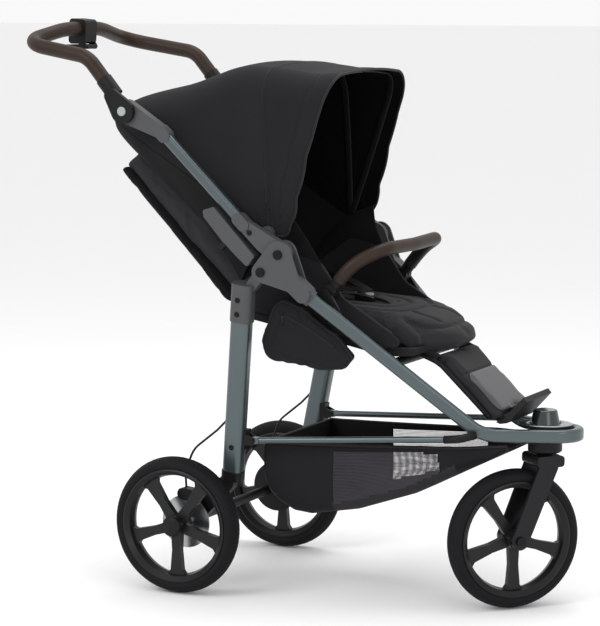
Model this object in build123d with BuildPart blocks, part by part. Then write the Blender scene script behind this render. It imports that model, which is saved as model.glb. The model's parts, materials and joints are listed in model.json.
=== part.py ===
"""Folding three-wheeled baby stroller, in millimetres.

+X is the way the stroller rolls, +Y its left and +Z up. The origin is on the floor, midway
along the stroller. Places along it are given as distances ahead of the rear axle.
"""

import os
from math import cos, hypot, radians, sin, sqrt

from build123d import *

os.makedirs("parts", exist_ok=True)

# ---------------------------------------------------------------- driving dimensions
rear_axle_x = -207.5  # where the rear axle is along the stroller

wheel_radius = 150.0
tyre_width = 48.0
tyre_depth = 29.0  # from tread to bead
rim_lip = 4.0  # how far the rim's lips stand out past the bead
spoke_count = 5
spoke_thickness = 15.0
hub_radius = 21.0
wheel_hub_width = 54.0
spindle_radius = 6.0
rear_track_half = 254.0  # from the middle plane to the middle of a rear wheel

frame_half_width = 240.0  # to the middle of the frame tube beside the fold joint
tube_width = 20.0  # sideways size of the frame tubes
front_tube_height = 28.0
upper_tube_height = 24.0
tube_corner = 7.0
tube_top = (305.0, 668.0)  # ahead of the axle and height, at the fold joint
bend = (650.0, 374.0)  # where the slanting front tube turns level
bend_half_width = 102.0
bend_radius = 90.0
nose_x = 825.0  # middle of the tube at the tip of its nose

fold_pivot = (247.0, 751.0)
leg_pivot = (206.0, 712.0)
pivot_bolt = 6.0
cheek_thickness = 5.0
housing_outer = 257.0  # outer face of the fold joint's cheeks, from the middle plane
housing_inner = 223.0
side_gap = 2.0  # between a lug and the cheek beside it
pivot_gap = 0.06  # running clearance round every pivot pin
part_gap = 0.4  # between faces of pieces that move past each other

upper_tube_low = (161.0, 809.0)
upper_tube_high = (-41.0, 1002.0)
handle_pivot = (-127.0, 1044.0)
handle_hub_radius = 27.0
handle_hub_outer = 262.0
handle_button_radius = 10.0
handle_button_travel = 3.0
sleeve_length = 88.0  # from the handle pivot to the end of its sleeve
handle_bend = (-224.0, 1159.0)
handle_corner = (-402.0, 222.0, 1188.0)
handle_crown = (-384.0, 75.0, 1216.0)
handle_tube_radius = 12.0
grip_radius = 16.0

leg_top = (158.0, 243.0, 660.0)
leg_foot = (103.0, 188.0, 268.0)
leg_length_x = 45.0
leg_width = 34.0
leg_corner = 12.0
axle_radius = 11.0
disc_radius = 58.0
disc_thickness = 3.0
disc_y = 216.0
cable_radius = 2.5

rail_rear = (152.0, 194.0, 338.0)
rail_front = (613.0, 147.0, 370.0)
rail_radius = 7.5

steering_x = 752.0
steering_angle = 47.0  # how far the front wheel is turned at rest
trail = 73.0
head_radius = 36.5
head_bottom = 332.0
head_plate_thickness = 4.0
steerer_radius = 12.0
fork_half_gap = 31.0
fork_blade = 8.0
crown_bottom = 304.0
crown_top = 328.0
knob_top_radius = 25.0
knob_base_radius = 31.5
knob_height = 30.0

seat_half_width = 156.0
cushion_half_width = 150.0
backrest_half_width = 156.0
recline_pivot = (78.0, 640.0)
side_panel_y = 166.0
canopy_pivot = (200.0, 790.0)
canopy_half_width = 205.0
canopy_wall = 4.0
canopy_corner = 70.0
canopy_split = 93.0  # degrees up from level where the moving half of the canopy begins
bumper_pivot = (331.0, 664.0)
bumper_radius = 13.0
bumper_half_width = 184.0
bumper_button_radius = 9.0
bumper_pin = 7.0
footrest_pivot = (546.0, 528.0)
footrest_half_width = 84.0

SIDES = (("r", -1), ("l", 1))


# ---------------------------------------------------------------- shared shapes
def at(x, y, z):
    """A point given by its distance ahead of the rear axle."""
    return Vector(rear_axle_x + x, y, z)


def side_plane(y):
    """The upright plane at y: its x runs ahead of the rear axle and its y is height."""
    return Plane(origin=(rear_axle_x, y, 0), x_dir=(1, 0, 0), z_dir=(0, -1, 0))


def slab_start(side, y_in, y_out):
    """Where a slab on one side starts, so that it is made towards the stroller's right."""
    return y_out if side > 0 else -y_in


def hull_slab(side, y_in, y_out, circles, mode=Mode.ADD):
    """A flat slab whose outline is drawn tight round circles of (x, z, radius)."""
    with BuildSketch(side_plane(slab_start(side, y_in, y_out))) as outline:
        for x, z, radius in circles:
            with Locations((x, z)):
                Circle(radius)
        if len(circles) > 1:
            make_hull()
    extrude(outline.sketch, amount=y_out - y_in, mode=mode)


def polygon_slab(side, y_in, y_out, points, corner=0.0, mode=Mode.ADD):
    """A flat slab with a straight-sided outline of (x, z) points and rounded corners."""
    with BuildSketch(side_plane(slab_start(side, y_in, y_out))) as outline:
        with BuildLine():
            Polyline(*points, close=True)
        make_face()
        if corner:
            fillet(outline.vertices(), radius=corner)
    extrude(outline.sketch, amount=y_out - y_in, mode=mode)


def cross_plane(path, along=0.0):
    """The plane square to a path, with its y as near to straight up as the path allows."""
    heading = path % along
    return Plane(origin=path @ along, x_dir=Vector(0, 0, 1).cross(heading), z_dir=heading)


def round_bar(points, radii, outer, inner=0.0):
    """A round bar, or a tube, along straight runs joined by arcs."""
    with BuildLine() as route:
        if len(points) > 2:
            FilletPolyline(*points, radius=radii)
        else:
            Line(*points)
    with BuildSketch(cross_plane(route.line)) as ring:
        Circle(outer)
        if inner:
            Circle(inner, mode=Mode.SUBTRACT)
    sweep(ring.sketch, path=route.line)


def cross_pin(side, centre, radius, y_in, y_out, mode=Mode.ADD):
    """A round pin or hole across the stroller."""
    hull_slab(side, y_in, y_out, [(*centre, radius)], mode)


def along(start, end, distance):
    """The (x, z) point a distance from start towards end."""
    length = hypot(end[0] - start[0], end[1] - start[1])
    share = distance / length
    return start[0] + (end[0] - start[0]) * share, start[1] + (end[1] - start[1]) * share


def save(piece, label):
    """Labels a finished piece and writes its STEP file."""
    piece.part.label = label
    export_step(piece.part, f"parts/{label}.step")


# ---------------------------------------------------------------- front frame
taper = (frame_half_width - bend_half_width) / (bend[0] - tube_top[0])
taper_run = sqrt(1 + taper**2)
taper_reach = frame_half_width + taper * tube_top[0]
nose_radius = (taper_reach - taper * nose_x) / (taper_run - taper)
nose_centre = nose_x - nose_radius
nose_tangent = (nose_centre + nose_radius * taper / taper_run, nose_radius / taper_run)
deck_z = bend[1] + front_tube_height / 2  # top of the level part of the frame tube


def front_route(side):
    """The frame tube's route down one side, from the fold joint to the nose."""
    half = FilletPolyline(
        at(tube_top[0], side * frame_half_width, tube_top[1]),
        at(bend[0], side * bend_half_width, bend[1]),
        at(nose_tangent[0], side * nose_tangent[1], bend[1]),
        radius=bend_radius,
    )
    return half


def front_section(path, grow=0.0, start=0.0):
    """The frame tube's rounded section, square to its route."""
    with BuildSketch(cross_plane(path, start)) as section:
        RectangleRounded(tube_width + grow, front_tube_height + grow, tube_corner + grow / 2)
    return section.sketch


with BuildPart() as front_frame_tube:
    for _, side in SIDES:
        with BuildLine() as half_route:
            front_route(side)
        sweep(front_section(half_route.line), path=half_route.line)
    with BuildLine() as nose_route:
        ThreePointArc(
            at(nose_tangent[0], -nose_tangent[1], bend[1]),
            at(nose_x, 0, bend[1]),
            at(nose_tangent[0], nose_tangent[1], bend[1]),
        )
    sweep(front_section(nose_route.line), path=nose_route.line)
save(front_frame_tube, "front_frame_tube")

sleeve_reach = 16.0  # how far the joint's sleeve covers the frame tube
sleeve_root = [(303.0, 669.5, 18.0), (278.0, 691.0, 18.0)]  # where it runs back into the cheeks
sleeve_wall = 4.0
cheek_shape = [(*fold_pivot, 29.0), (*leg_pivot, 21.0), (281.0, 690.0, 18.0)]
with BuildPart() as joint_housings:
    for _, side in SIDES:
        hull_slab(side, housing_outer - cheek_thickness, housing_outer, cheek_shape)
        hull_slab(side, housing_inner, housing_inner + cheek_thickness, cheek_shape)
        with BuildLine() as tube_route:
            front_route(side)
        extrude(front_section(tube_route.line, grow=2 * sleeve_wall), amount=sleeve_reach)
        hull_slab(side, housing_inner, housing_outer, sleeve_root)
        extrude(front_section(tube_route.line), amount=2 * sleeve_reach, mode=Mode.SUBTRACT)
        for pivot in (fold_pivot, leg_pivot):
            cross_pin(side, pivot, pivot_bolt + 0.02, housing_inner - 1, housing_outer + 1, Mode.SUBTRACT)
save(joint_housings, "joint_housings")

with BuildPart() as pivot_bolts:
    for _, side in SIDES:
        for pivot in (fold_pivot, leg_pivot):
            cross_pin(side, pivot, pivot_bolt, housing_inner - 3, housing_outer + 1)
            cross_pin(side, pivot, pivot_bolt + 4, housing_outer + 0.02, housing_outer + 4)
            cross_pin(side, pivot, pivot_bolt + 3, housing_inner - 6, housing_inner - 0.02)
save(pivot_bolts, "pivot_bolts")

cross_tube_share = (470.0 - tube_top[0]) / (bend[0] - tube_top[0])  # how far down the slanting tube it sits
cross_tube_half = frame_half_width - (frame_half_width - bend_half_width) * cross_tube_share
with BuildPart() as cross_tube:
    with BuildSketch(side_plane(cross_tube_half)):
        with Locations((470.0, 523.0)):
            Circle(10)
            Circle(8, mode=Mode.SUBTRACT)
    extrude(amount=2 * cross_tube_half)
    add(front_frame_tube.part, mode=Mode.SUBTRACT)
save(cross_tube, "cross_tube")

head_plane = Plane(origin=at(steering_x, 0, head_bottom))
bearing_radius = 20.0
bearing_height = 9.0
with BuildPart() as head_housing:
    with BuildSketch(head_plane):
        Circle(head_radius)
    extrude(amount=deck_z - head_bottom)
    with BuildSketch(head_plane):
        Circle(steerer_radius + 3)
    extrude(amount=deck_z - head_bottom, mode=Mode.SUBTRACT)
    for height in (0.0, deck_z - head_bottom - bearing_height):
        with BuildSketch(head_plane.offset(height)):
            Circle(bearing_radius)
        extrude(amount=bearing_height, mode=Mode.SUBTRACT)
    chamfer(head_housing.faces().sort_by(Axis.Z)[0].outer_wire().edges(), length=3)
    with BuildSketch(Plane(origin=at(steering_x, 0, deck_z))):
        Ellipse(60, 48)
        Circle(bearing_radius - 3, mode=Mode.SUBTRACT)
    extrude(amount=head_plate_thickness)
save(head_housing, "head_housing")

with BuildPart() as head_bearings:
    for height in (0.0, deck_z - head_bottom - bearing_height):
        with BuildSketch(head_plane.offset(height)):
            Circle(bearing_radius)
            Circle(steerer_radius + pivot_gap, mode=Mode.SUBTRACT)
        extrude(amount=bearing_height)
save(head_bearings, "head_bearings")

knob_base_z = deck_z + head_plate_thickness + part_gap
with BuildPart() as lock_knob:
    with BuildSketch(Plane(origin=at(steering_x, 0, knob_base_z))):
        Circle(knob_base_radius)
    with BuildSketch(Plane(origin=at(steering_x, 0, knob_base_z + knob_height))):
        Circle(knob_top_radius)
    loft()
    fillet(lock_knob.faces().sort_by(Axis.Z)[-1].edges(), radius=4)
save(lock_knob, "lock_knob")

# ---------------------------------------------------------------- push frame
lug_in = housing_inner + cheek_thickness + side_gap
lug_out = housing_outer - cheek_thickness - side_gap
collar_wall = 2.0
collar_length = 26.0
collar_top = along(upper_tube_low, upper_tube_high, collar_length - 8)
lug_low = along(upper_tube_low, upper_tube_high, -60)

with BuildPart() as fold_lugs:
    for _, side in SIDES:
        lug_shape = [(*fold_pivot, 24.0), (*lug_low, 13.0), (*upper_tube_low, 13.0)]
        hull_slab(side, lug_in, lug_out, lug_shape)
        hull_slab(side, lug_in - 2, lug_out + 2, [(*upper_tube_low, 13.5), (*collar_top, 13.5)])
        cross_pin(side, fold_pivot, pivot_bolt + pivot_gap, lug_in - 1, lug_out + 1, Mode.SUBTRACT)
        with BuildLine() as tube_line:
            Line(at(upper_tube_low[0], side * frame_half_width, upper_tube_low[1]),
                 at(upper_tube_high[0], side * frame_half_width, upper_tube_high[1]))
        with BuildSketch(cross_plane(tube_line.line)) as tube_bore:
            RectangleRounded(tube_width, upper_tube_height, tube_corner)
        extrude(tube_bore.sketch, amount=60, mode=Mode.SUBTRACT)
save(fold_lugs, "fold_lugs")

with BuildPart() as upper_tubes:
    for _, side in SIDES:
        with BuildLine() as tube_line:
            Line(at(upper_tube_low[0], side * frame_half_width, upper_tube_low[1]),
                 at(upper_tube_high[0], side * frame_half_width, upper_tube_high[1]))
        with BuildSketch(cross_plane(tube_line.line)) as tube_section:
            RectangleRounded(tube_width, upper_tube_height, tube_corner)
            RectangleRounded(tube_width - 5, upper_tube_height - 5, tube_corner - 2.5, mode=Mode.SUBTRACT)
        sweep(tube_section.sketch, path=tube_line.line)
save(upper_tubes, "upper_tubes")

hub_face = handle_hub_outer - 10.0  # where the handle's outer disc meets the bracket
with BuildPart() as handle_brackets:
    for _, side in SIDES:
        neck = along(upper_tube_high, handle_pivot, -2)
        hull_slab(side, 230.0, hub_face - part_gap, [(*handle_pivot, 25.0), (*neck, 14.0)])
        tail = along(upper_tube_high, upper_tube_low, 14)
        hull_slab(side, 227.5, hub_face - part_gap, [(*upper_tube_high, 14.5), (*tail, 14.5)])
        with BuildLine() as tube_line:
            Line(at(upper_tube_high[0], side * frame_half_width, upper_tube_high[1]),
                 at(upper_tube_low[0], side * frame_half_width, upper_tube_low[1]))
        with BuildSketch(cross_plane(tube_line.line)) as tube_bore:
            RectangleRounded(tube_width, upper_tube_height, tube_corner)
        extrude(tube_bore.sketch, amount=60, mode=Mode.SUBTRACT)
        cross_pin(side, handle_pivot, pivot_bolt + pivot_gap, 225, hub_face + 1, Mode.SUBTRACT)
save(handle_brackets, "handle_brackets")

# Latch grips: pulled up along the tubes to free the fold joint, once their triggers are in.
grip_in, grip_out = 229.0, 254.0
latch_shape = [(92, 846), (66, 838), (68, 824), (111, 776), (149, 741), (172, 722), (190, 745)]
trigger_width = 12.0
trigger_place = (114.0, 768.0)
trigger_travel = 5.0
for tag, side in SIDES:
    with BuildPart() as latch_grip:
        polygon_slab(side, grip_in, grip_out, latch_shape, corner=4)
        with BuildSketch(side_plane(slab_start(side, 235.5, 248.5))) as slot:
            with Locations(Location((*trigger_place, 0), (0, 0, 43))):
                Rectangle(34, trigger_width + 2 * part_gap)
        extrude(slot.sketch, amount=13, mode=Mode.SUBTRACT)
    save(latch_grip, f"latch_grip_{tag}")
    with BuildPart() as latch_trigger:
        with BuildSketch(side_plane(slab_start(side, 236, 248))) as tab:
            with Locations(Location((trigger_place[0] - 4, trigger_place[1] - 4, 0), (0, 0, 43))):
                RectangleRounded(22, trigger_width, 2)
        extrude(tab.sketch, amount=12)
    save(latch_trigger, f"latch_trigger_{tag}")

# ---------------------------------------------------------------- handle
sleeve_start = along(handle_pivot, handle_bend, handle_hub_radius + 16)
sleeve_top = along(handle_pivot, handle_bend, sleeve_length)
with BuildPart() as handle_hubs:
    for _, side in SIDES:
        hull_slab(side, hub_face, handle_hub_outer,
                  [(*handle_pivot, handle_hub_radius), (*sleeve_start, 16.0)])
        with BuildLine() as sleeve_line:
            Line(at(sleeve_start[0], side * frame_half_width, sleeve_start[1]),
                 at(sleeve_top[0], side * frame_half_width, sleeve_top[1]))
        with BuildSketch(cross_plane(sleeve_line.line)) as sleeve_section:
            RectangleRounded(34, 34, 14)
        sweep(sleeve_section.sketch, path=sleeve_line.line)
        hull_slab(side, frame_half_width, handle_hub_outer, [(*sleeve_start, 15.0), (*sleeve_start, 14.0)])
        cross_pin(side, handle_pivot, 25.0 + 2, 220, hub_face, Mode.SUBTRACT)
        cross_pin(side, handle_pivot, pivot_bolt, 229, hub_face + 1)
        cross_pin(side, handle_pivot, handle_button_radius + part_gap,
                  handle_hub_outer - 7, handle_hub_outer + 1, Mode.SUBTRACT)
        with BuildSketch(cross_plane(sleeve_line.line)) as sleeve_bore:
            Circle(handle_tube_radius)
        extrude(sleeve_bore.sketch, amount=120, mode=Mode.SUBTRACT)
save(handle_hubs, "handle_hubs")

for tag, side in SIDES:
    with BuildPart() as handle_button:
        cross_pin(side, handle_pivot, handle_button_radius, handle_hub_outer - 3.5, handle_hub_outer + 3)
        fillet(handle_button.edges().filter_by(GeomType.CIRCLE).group_by(Axis.Y)[0 if side < 0 else -1],
               radius=1.5)
    save(handle_button, f"handle_button_{tag}")


def handle_points(start):
    """The push handle's route from one side's start to the other's."""
    right = [
        at(start[0], -frame_half_width, start[1]),
        at(handle_bend[0], -frame_half_width, handle_bend[1]),
        at(handle_corner[0], -handle_corner[1], handle_corner[2]),
        at(handle_crown[0], -handle_crown[1], handle_crown[2]),
    ]
    return right + [Vector(point.X, -point.Y, point.Z) for point in reversed(right)]


handle_radii = [60, 62, 300, 300, 62, 60]
with BuildPart() as handle_tube:
    round_bar(handle_points(sleeve_start), handle_radii, handle_tube_radius, handle_tube_radius - 2)
save(handle_tube, "handle_tube")

with BuildPart() as handle_grip:
    grip_start = along(sleeve_top, handle_bend, 0.5)
    round_bar(handle_points(grip_start), handle_radii, grip_radius, handle_tube_radius + 0.02)
save(handle_grip, "handle_grip")

crown_x, crown_z = handle_crown[0], handle_crown[2]
mount_half = 24.0
lever_half = 20.0
lever_pin = 3.0
lever_pivot = (crown_x + 18.0, crown_z - 40.0)
with BuildPart() as brake_mount:
    polygon_slab(1, -mount_half, mount_half,
                 [(crown_x - 24, crown_z - 34), (crown_x + 21, crown_z - 34), (crown_x + 24, crown_z + 20),
                  (crown_x - 20, crown_z + 24)], corner=9)
    for _, side in SIDES:
        hull_slab(side, lever_half + part_gap, mount_half,
                  [(*lever_pivot, 6.5), (crown_x + 8, crown_z - 28, 8.0)])
        cross_pin(side, lever_pivot, lever_pin + pivot_gap, lever_half, mount_half + 1, Mode.SUBTRACT)
    with BuildSketch(side_plane(mount_half + 1)) as bar_hole:
        with Locations((crown_x, crown_z)):
            Circle(grip_radius + 0.3)
    extrude(bar_hole.sketch, amount=2 * mount_half + 2, mode=Mode.SUBTRACT)
save(brake_mount, "brake_mount")

with BuildPart() as brake_lever:
    cross_pin(1, lever_pivot, lever_pin, -mount_half, mount_half)
    polygon_slab(1, -lever_half, lever_half,
                 [(crown_x + 26, crown_z - 46), (crown_x + 24, crown_z - 35), (crown_x - 34, crown_z - 36),
                  (crown_x - 38, crown_z - 44)], corner=3.5)
save(brake_lever, "brake_lever")

# ---------------------------------------------------------------- rear frame
def leg_axis(side):
    """The middle line of one rear leg, from its foot to its top."""
    return Line(at(leg_foot[0], side * leg_foot[1], leg_foot[2]),
                at(leg_top[0], side * leg_top[1], leg_top[2]))


def leg_plane(side, share):
    """The plane square to a leg, a share of the way up it, with x running forward."""
    with BuildLine() as axis:
        leg_axis(side)
    heading = axis.line % 0
    return Plane(origin=axis.line @ share, x_dir=Vector(0, 1, 0).cross(heading), z_dir=heading)


leg_run = (Vector(*leg_top) - Vector(*leg_foot)).length
cap_overlap = 58.0
with BuildPart() as rear_legs:
    for _, side in SIDES:
        with BuildSketch(leg_plane(side, 0)) as leg_section:
            RectangleRounded(leg_length_x, leg_width, leg_corner)
            RectangleRounded(leg_length_x - 6, leg_width - 6, leg_corner - 3, mode=Mode.SUBTRACT)
        extrude(leg_section.sketch, amount=leg_run)
save(rear_legs, "rear_legs")

cap_wall = 2.5
leg_lug_radius = 13.0
with BuildPart() as leg_caps:
    for _, side in SIDES:
        with BuildSketch(leg_plane(side, 1).offset(-cap_overlap)) as cap_section:
            RectangleRounded(leg_length_x + 2 * cap_wall, leg_width + 2 * cap_wall, leg_corner + cap_wall)
        extrude(cap_section.sketch, amount=cap_overlap + 26)
        cross_pin(side, leg_pivot, 24.0, 200, 290, Mode.SUBTRACT)
        with BuildSketch(leg_plane(side, 0)) as leg_bore:
            RectangleRounded(leg_length_x, leg_width, leg_corner)
        extrude(leg_bore.sketch, amount=leg_run, mode=Mode.SUBTRACT)
        hull_slab(side, lug_in, lug_out, [(*leg_pivot, leg_lug_radius), (178, 680, 12.0)])
        cross_pin(side, leg_pivot, pivot_bolt + pivot_gap, lug_in - 1, lug_out + 1, Mode.SUBTRACT)
save(leg_caps, "leg_caps")

axle_z = wheel_radius
bracket_in, bracket_out = 177.0, 199.0
spindle_end = rear_track_half + wheel_hub_width / 2 + 3
with BuildPart() as rear_axle:
    with BuildSketch(side_plane(disc_y - 12)):
        with Locations((0, axle_z)):
            Circle(axle_radius)
    extrude(amount=2 * (disc_y - 12))
    with BuildSketch(side_plane(spindle_end)):
        with Locations((0, axle_z)):
            Circle(spindle_radius)
    extrude(amount=2 * spindle_end)
save(rear_axle, "rear_axle")

caliper_gap = 1.5
with BuildPart() as brake_calipers:
    for _, side in SIDES:
        hull_slab(side, bracket_out + 0.02, disc_y + 9,
                  [(-4, axle_z + 62, 13.0), (14, axle_z + 60, 13.0)])
        hull_slab(side, bracket_out + 0.02, bracket_out + 6, [(-4, axle_z + 62, 13.0), (30, 180, 10.0)])
        cross_pin(side, (0, axle_z), disc_radius + 1.5, disc_y - disc_thickness / 2 - caliper_gap,
                  disc_y + disc_thickness / 2 + caliper_gap, Mode.SUBTRACT)
save(brake_calipers, "brake_calipers")

# Each brake cable rises from its caliper and goes into the back of the leg.
with BuildPart() as brake_cables:
    for _, side in SIDES:
        cable_points = [
            at(-4, side * 207, axle_z + 75.05),
            at(-6, side * 207, axle_z + 110),
            at(14, side * 204, axle_z + 160),
            at(72, side * 203, axle_z + 206),
            at(98, side * 203.2, axle_z + 232),
        ]
        round_bar(cable_points, [45, 60, 60], cable_radius)
save(brake_cables, "brake_cables")

clevis_half = 8.0
clevis_ear = 4.0
rail_pin = 3.0
rail_place = (rail_rear[0], rail_rear[2])
with BuildPart() as leg_fittings:
    for _, side in SIDES:
        hull_slab(side, bracket_in, bracket_out, [(0, axle_z, 20.0), (90, 240, 18.0)])
        with BuildSketch(leg_plane(side, 0)) as shoe:
            RectangleRounded(leg_length_x + 3, leg_width + 3, leg_corner)
        extrude(shoe.sketch, amount=-20)
        cross_pin(side, (0, axle_z), axle_radius, bracket_in - 20, bracket_out + 20, Mode.SUBTRACT)
        ear_in = rail_rear[1] - clevis_half - clevis_ear
        ear_out = rail_rear[1] + clevis_half + clevis_ear
        for inner in (ear_in, ear_out - clevis_ear):
            hull_slab(side, inner, inner + clevis_ear, [(*rail_place, 9.0), (141, 340, 12.0)])
        polygon_slab(side, ear_in, ear_out, [(128, 318), (139, 318), (143.5, 362), (130, 362)])
        cross_pin(side, rail_place, rail_pin, ear_in, ear_out)
    add(rear_legs.part, mode=Mode.SUBTRACT)
save(leg_fittings, "leg_fittings")

with BuildPart() as basket_rails:
    for _, side in SIDES:
        y_in = rail_rear[1] - clevis_half + 1
        y_out = rail_rear[1] + clevis_half - 1
        rail_start = at(rail_rear[0] + 7, side * (rail_rear[1] - 0.6), rail_rear[2] + 0.5)
        rail_end = at(rail_front[0], side * rail_front[1], rail_front[2])
        with BuildLine() as rail_line:
            Line(rail_start, rail_end)
        with BuildSketch(cross_plane(rail_line.line)) as rail_section:
            Circle(rail_radius - 0.6)
        extrude(rail_section.sketch, amount=(rail_end - rail_start).length)
        hull_slab(side, y_in, y_out, [(*rail_place, 8.0), (rail_rear[0] + 12, rail_rear[2] + 0.8, 7.0)])
        cross_pin(side, rail_place, rail_pin + pivot_gap, y_in - 1, y_out + 1, Mode.SUBTRACT)
save(basket_rails, "basket_rails")


# ---------------------------------------------------------------- wheels
def radial_plane(wheel):
    """A plane through a wheel's axle: x is outward along a spoke, y along the axle."""
    return Plane(origin=wheel.origin, x_dir=wheel.x_dir, z_dir=-wheel.y_dir)


def axle_line(wheel):
    """A wheel's axle."""
    return Axis(wheel.origin, wheel.z_dir)


bead_radius = wheel_radius - tyre_depth
rim_half = tyre_width / 2 - 6


def make_tyre(wheel, label):
    """An air tyre: a crowned tread over rounded side walls."""
    with BuildPart() as tyre:
        with BuildSketch(radial_plane(wheel)):
            with BuildLine():
                shoulder = wheel_radius - 7
                wall = tyre_width / 2
                Spline((bead_radius, -rim_half), (bead_radius + 12, -wall), (shoulder, -wall + 5),
                       (wheel_radius, 0), (shoulder, wall - 5), (bead_radius + 12, wall),
                       (bead_radius, rim_half))
                Line((bead_radius, rim_half), (bead_radius, -rim_half))
            make_face()
        revolve(axis=axle_line(wheel))
    save(tyre, label)


def make_rim(wheel, label):
    """A moulded five-spoke rim with its hub, bored for the bearings."""
    rim_inner = bead_radius - 9
    with BuildPart() as rim:
        with BuildSketch(radial_plane(wheel)):
            with BuildLine():
                Polyline((bead_radius - 0.05, -rim_half), (bead_radius + rim_lip - 0.3, -rim_half - 4),
                         (bead_radius, -rim_half - 5.5), (rim_inner, -rim_half + 3), (rim_inner - 4, 0),
                         (rim_inner, rim_half - 3), (bead_radius, rim_half + 5.5),
                         (bead_radius + rim_lip - 0.3, rim_half + 4), (bead_radius - 0.05, rim_half),
                         close=True)
            make_face()
        revolve(axis=axle_line(wheel))
        with BuildSketch(wheel.offset(-wheel_hub_width / 2)):
            Circle(hub_radius)
        extrude(amount=wheel_hub_width)
        with BuildSketch(wheel.offset(-spoke_thickness / 2)):
            with PolarLocations(0, spoke_count):
                Polygon((0, -13), (rim_inner * 0.5, -10), (rim_inner - 12, -14), (rim_inner, -24),
                        (rim_inner, 24), (rim_inner - 12, 14), (rim_inner * 0.5, 10), (0, 13), align=None)
        extrude(amount=spoke_thickness)
        for face in (-1, 1):
            start = wheel_hub_width / 2 * face
            with BuildSketch(wheel.offset(start)):
                Circle(14)
            extrude(amount=-8 * face, mode=Mode.SUBTRACT)
        with BuildSketch(wheel.offset(-wheel_hub_width / 2)):
            Circle(spindle_radius + 2)
        extrude(amount=wheel_hub_width, mode=Mode.SUBTRACT)
    save(rim, label)


def make_bearings(wheel, label):
    """The two ball bearings in a wheel's hub."""
    with BuildPart() as bearings:
        for face in (-1, 1):
            with BuildSketch(wheel.offset(wheel_hub_width / 2 * face)):
                Circle(14)
                Circle(spindle_radius + pivot_gap, mode=Mode.SUBTRACT)
            extrude(amount=-8 * face)
    save(bearings, label)


def make_disc(wheel, label):
    """A slotted brake disc on the inner side of a rear wheel, with the boss that carries it."""
    inner_face = rear_track_half - wheel_hub_width / 2
    disc_offset = disc_y - rear_track_half - disc_thickness / 2
    with BuildPart() as disc:
        with BuildSketch(wheel.offset(disc_offset)):
            Circle(disc_radius)
            with PolarLocations(disc_radius - 13, 12, start_angle=15):
                SlotOverall(14, 5, rotation=60)
            with PolarLocations(30, 5):
                Circle(8)
        extrude(amount=disc_thickness)
        with BuildSketch(wheel.offset(disc_offset + disc_thickness)):
            Circle(18)
        extrude(amount=inner_face - disc_y - disc_thickness / 2 - 0.02)
        with BuildSketch(wheel.offset(disc_offset - 1)):
            Circle(spindle_radius + 1)
        extrude(amount=30, mode=Mode.SUBTRACT)
    save(disc, label)


for tag, side in SIDES:
    rear_wheel = Plane(origin=at(0, side * rear_track_half, axle_z), x_dir=(0, 0, -1), z_dir=(0, side, 0))
    make_tyre(rear_wheel, f"rear_tyre_{tag}")
    make_rim(rear_wheel, f"rear_rim_{tag}")
    make_bearings(rear_wheel, f"rear_bearings_{tag}")
    make_disc(rear_wheel, f"brake_disc_{tag}")

# ---------------------------------------------------------------- swivelling front fork
roll = Vector(cos(radians(steering_angle)), sin(radians(steering_angle)), 0)
steering_foot = at(steering_x, 0, 0)
front_centre = steering_foot - roll * trail + Vector(0, 0, wheel_radius)
fork_upright = Plane(origin=steering_foot, x_dir=roll, z_dir=Vector(0, 0, 1).cross(roll) * -1)
blade_middle = fork_half_gap + fork_blade / 2


def blade_slab(y_from, thickness, circles, mode=Mode.ADD):
    """A slab along the fork, of circles (ahead of the steering axis, height, radius)."""
    with BuildSketch(fork_upright.offset(y_from)) as outline:
        for x, z, radius in circles:
            with Locations((x, z)):
                Circle(radius)
        if len(circles) > 1:
            make_hull()
    extrude(outline.sketch, amount=thickness, mode=mode)


with BuildPart() as fork:
    fork_width = 2 * (fork_half_gap + fork_blade)
    with BuildSketch(fork_upright.offset(-fork_width / 2 - 1)) as crown:
        with Locations((-4, (crown_top + crown_bottom) / 2)):
            RectangleRounded(62, crown_top - crown_bottom, 8)
    extrude(crown.sketch, amount=fork_width + 2)
    for start in (-fork_half_gap - fork_blade, fork_half_gap):
        blade_slab(start, fork_blade, [(-8, crown_bottom + 2, 21.0), (-trail, wheel_radius, 19.0)])
        blade_slab(start, fork_blade, [(-trail, wheel_radius, spindle_radius)], Mode.SUBTRACT)
    with BuildSketch(Plane(origin=at(steering_x, 0, crown_top))):
        Circle(steerer_radius + 5)
    extrude(amount=head_bottom - crown_top - part_gap)
    with BuildSketch(Plane(origin=at(steering_x, 0, crown_top))):
        Circle(steerer_radius)
    extrude(amount=deck_z + head_plate_thickness - crown_top - 1)
save(fork, "fork")

with BuildPart() as front_axle:
    blade_slab(-fork_half_gap - fork_blade - 3, 2 * (fork_half_gap + fork_blade + 3),
               [(-trail, wheel_radius, spindle_radius)])
    for start in (-fork_half_gap - fork_blade - 6, fork_half_gap + fork_blade + 0.02):
        blade_slab(start, 5.98, [(-trail, wheel_radius, spindle_radius + 4)])
save(front_axle, "front_axle")

front_wheel = Plane(origin=front_centre, x_dir=(0, 0, -1), z_dir=fork_upright.z_dir)
make_tyre(front_wheel, "front_tyre")
make_rim(front_wheel, "front_rim")
make_bearings(front_wheel, "front_bearings")

# ---------------------------------------------------------------- seat, harness and footrest
footrest_pin = 5.0
with BuildPart() as seat_base:
    polygon_slab(1, -seat_half_width, seat_half_width,
                 [(112, 600), (300, 566), (452, 536), (512, 540), (520, 556), (452, 553), (300, 582),
                  (118, 616)])
    for _, side in SIDES:
        ear_in, ear_out = footrest_half_width + 2, footrest_half_width + 8
        hull_slab(side, ear_in, ear_out, [(*footrest_pivot, 9.0), (505, 547, 7.0)])
        cross_pin(side, footrest_pivot, footrest_pin + pivot_gap, ear_in - 1, ear_out + 1, Mode.SUBTRACT)
save(seat_base, "seat_base")

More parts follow.
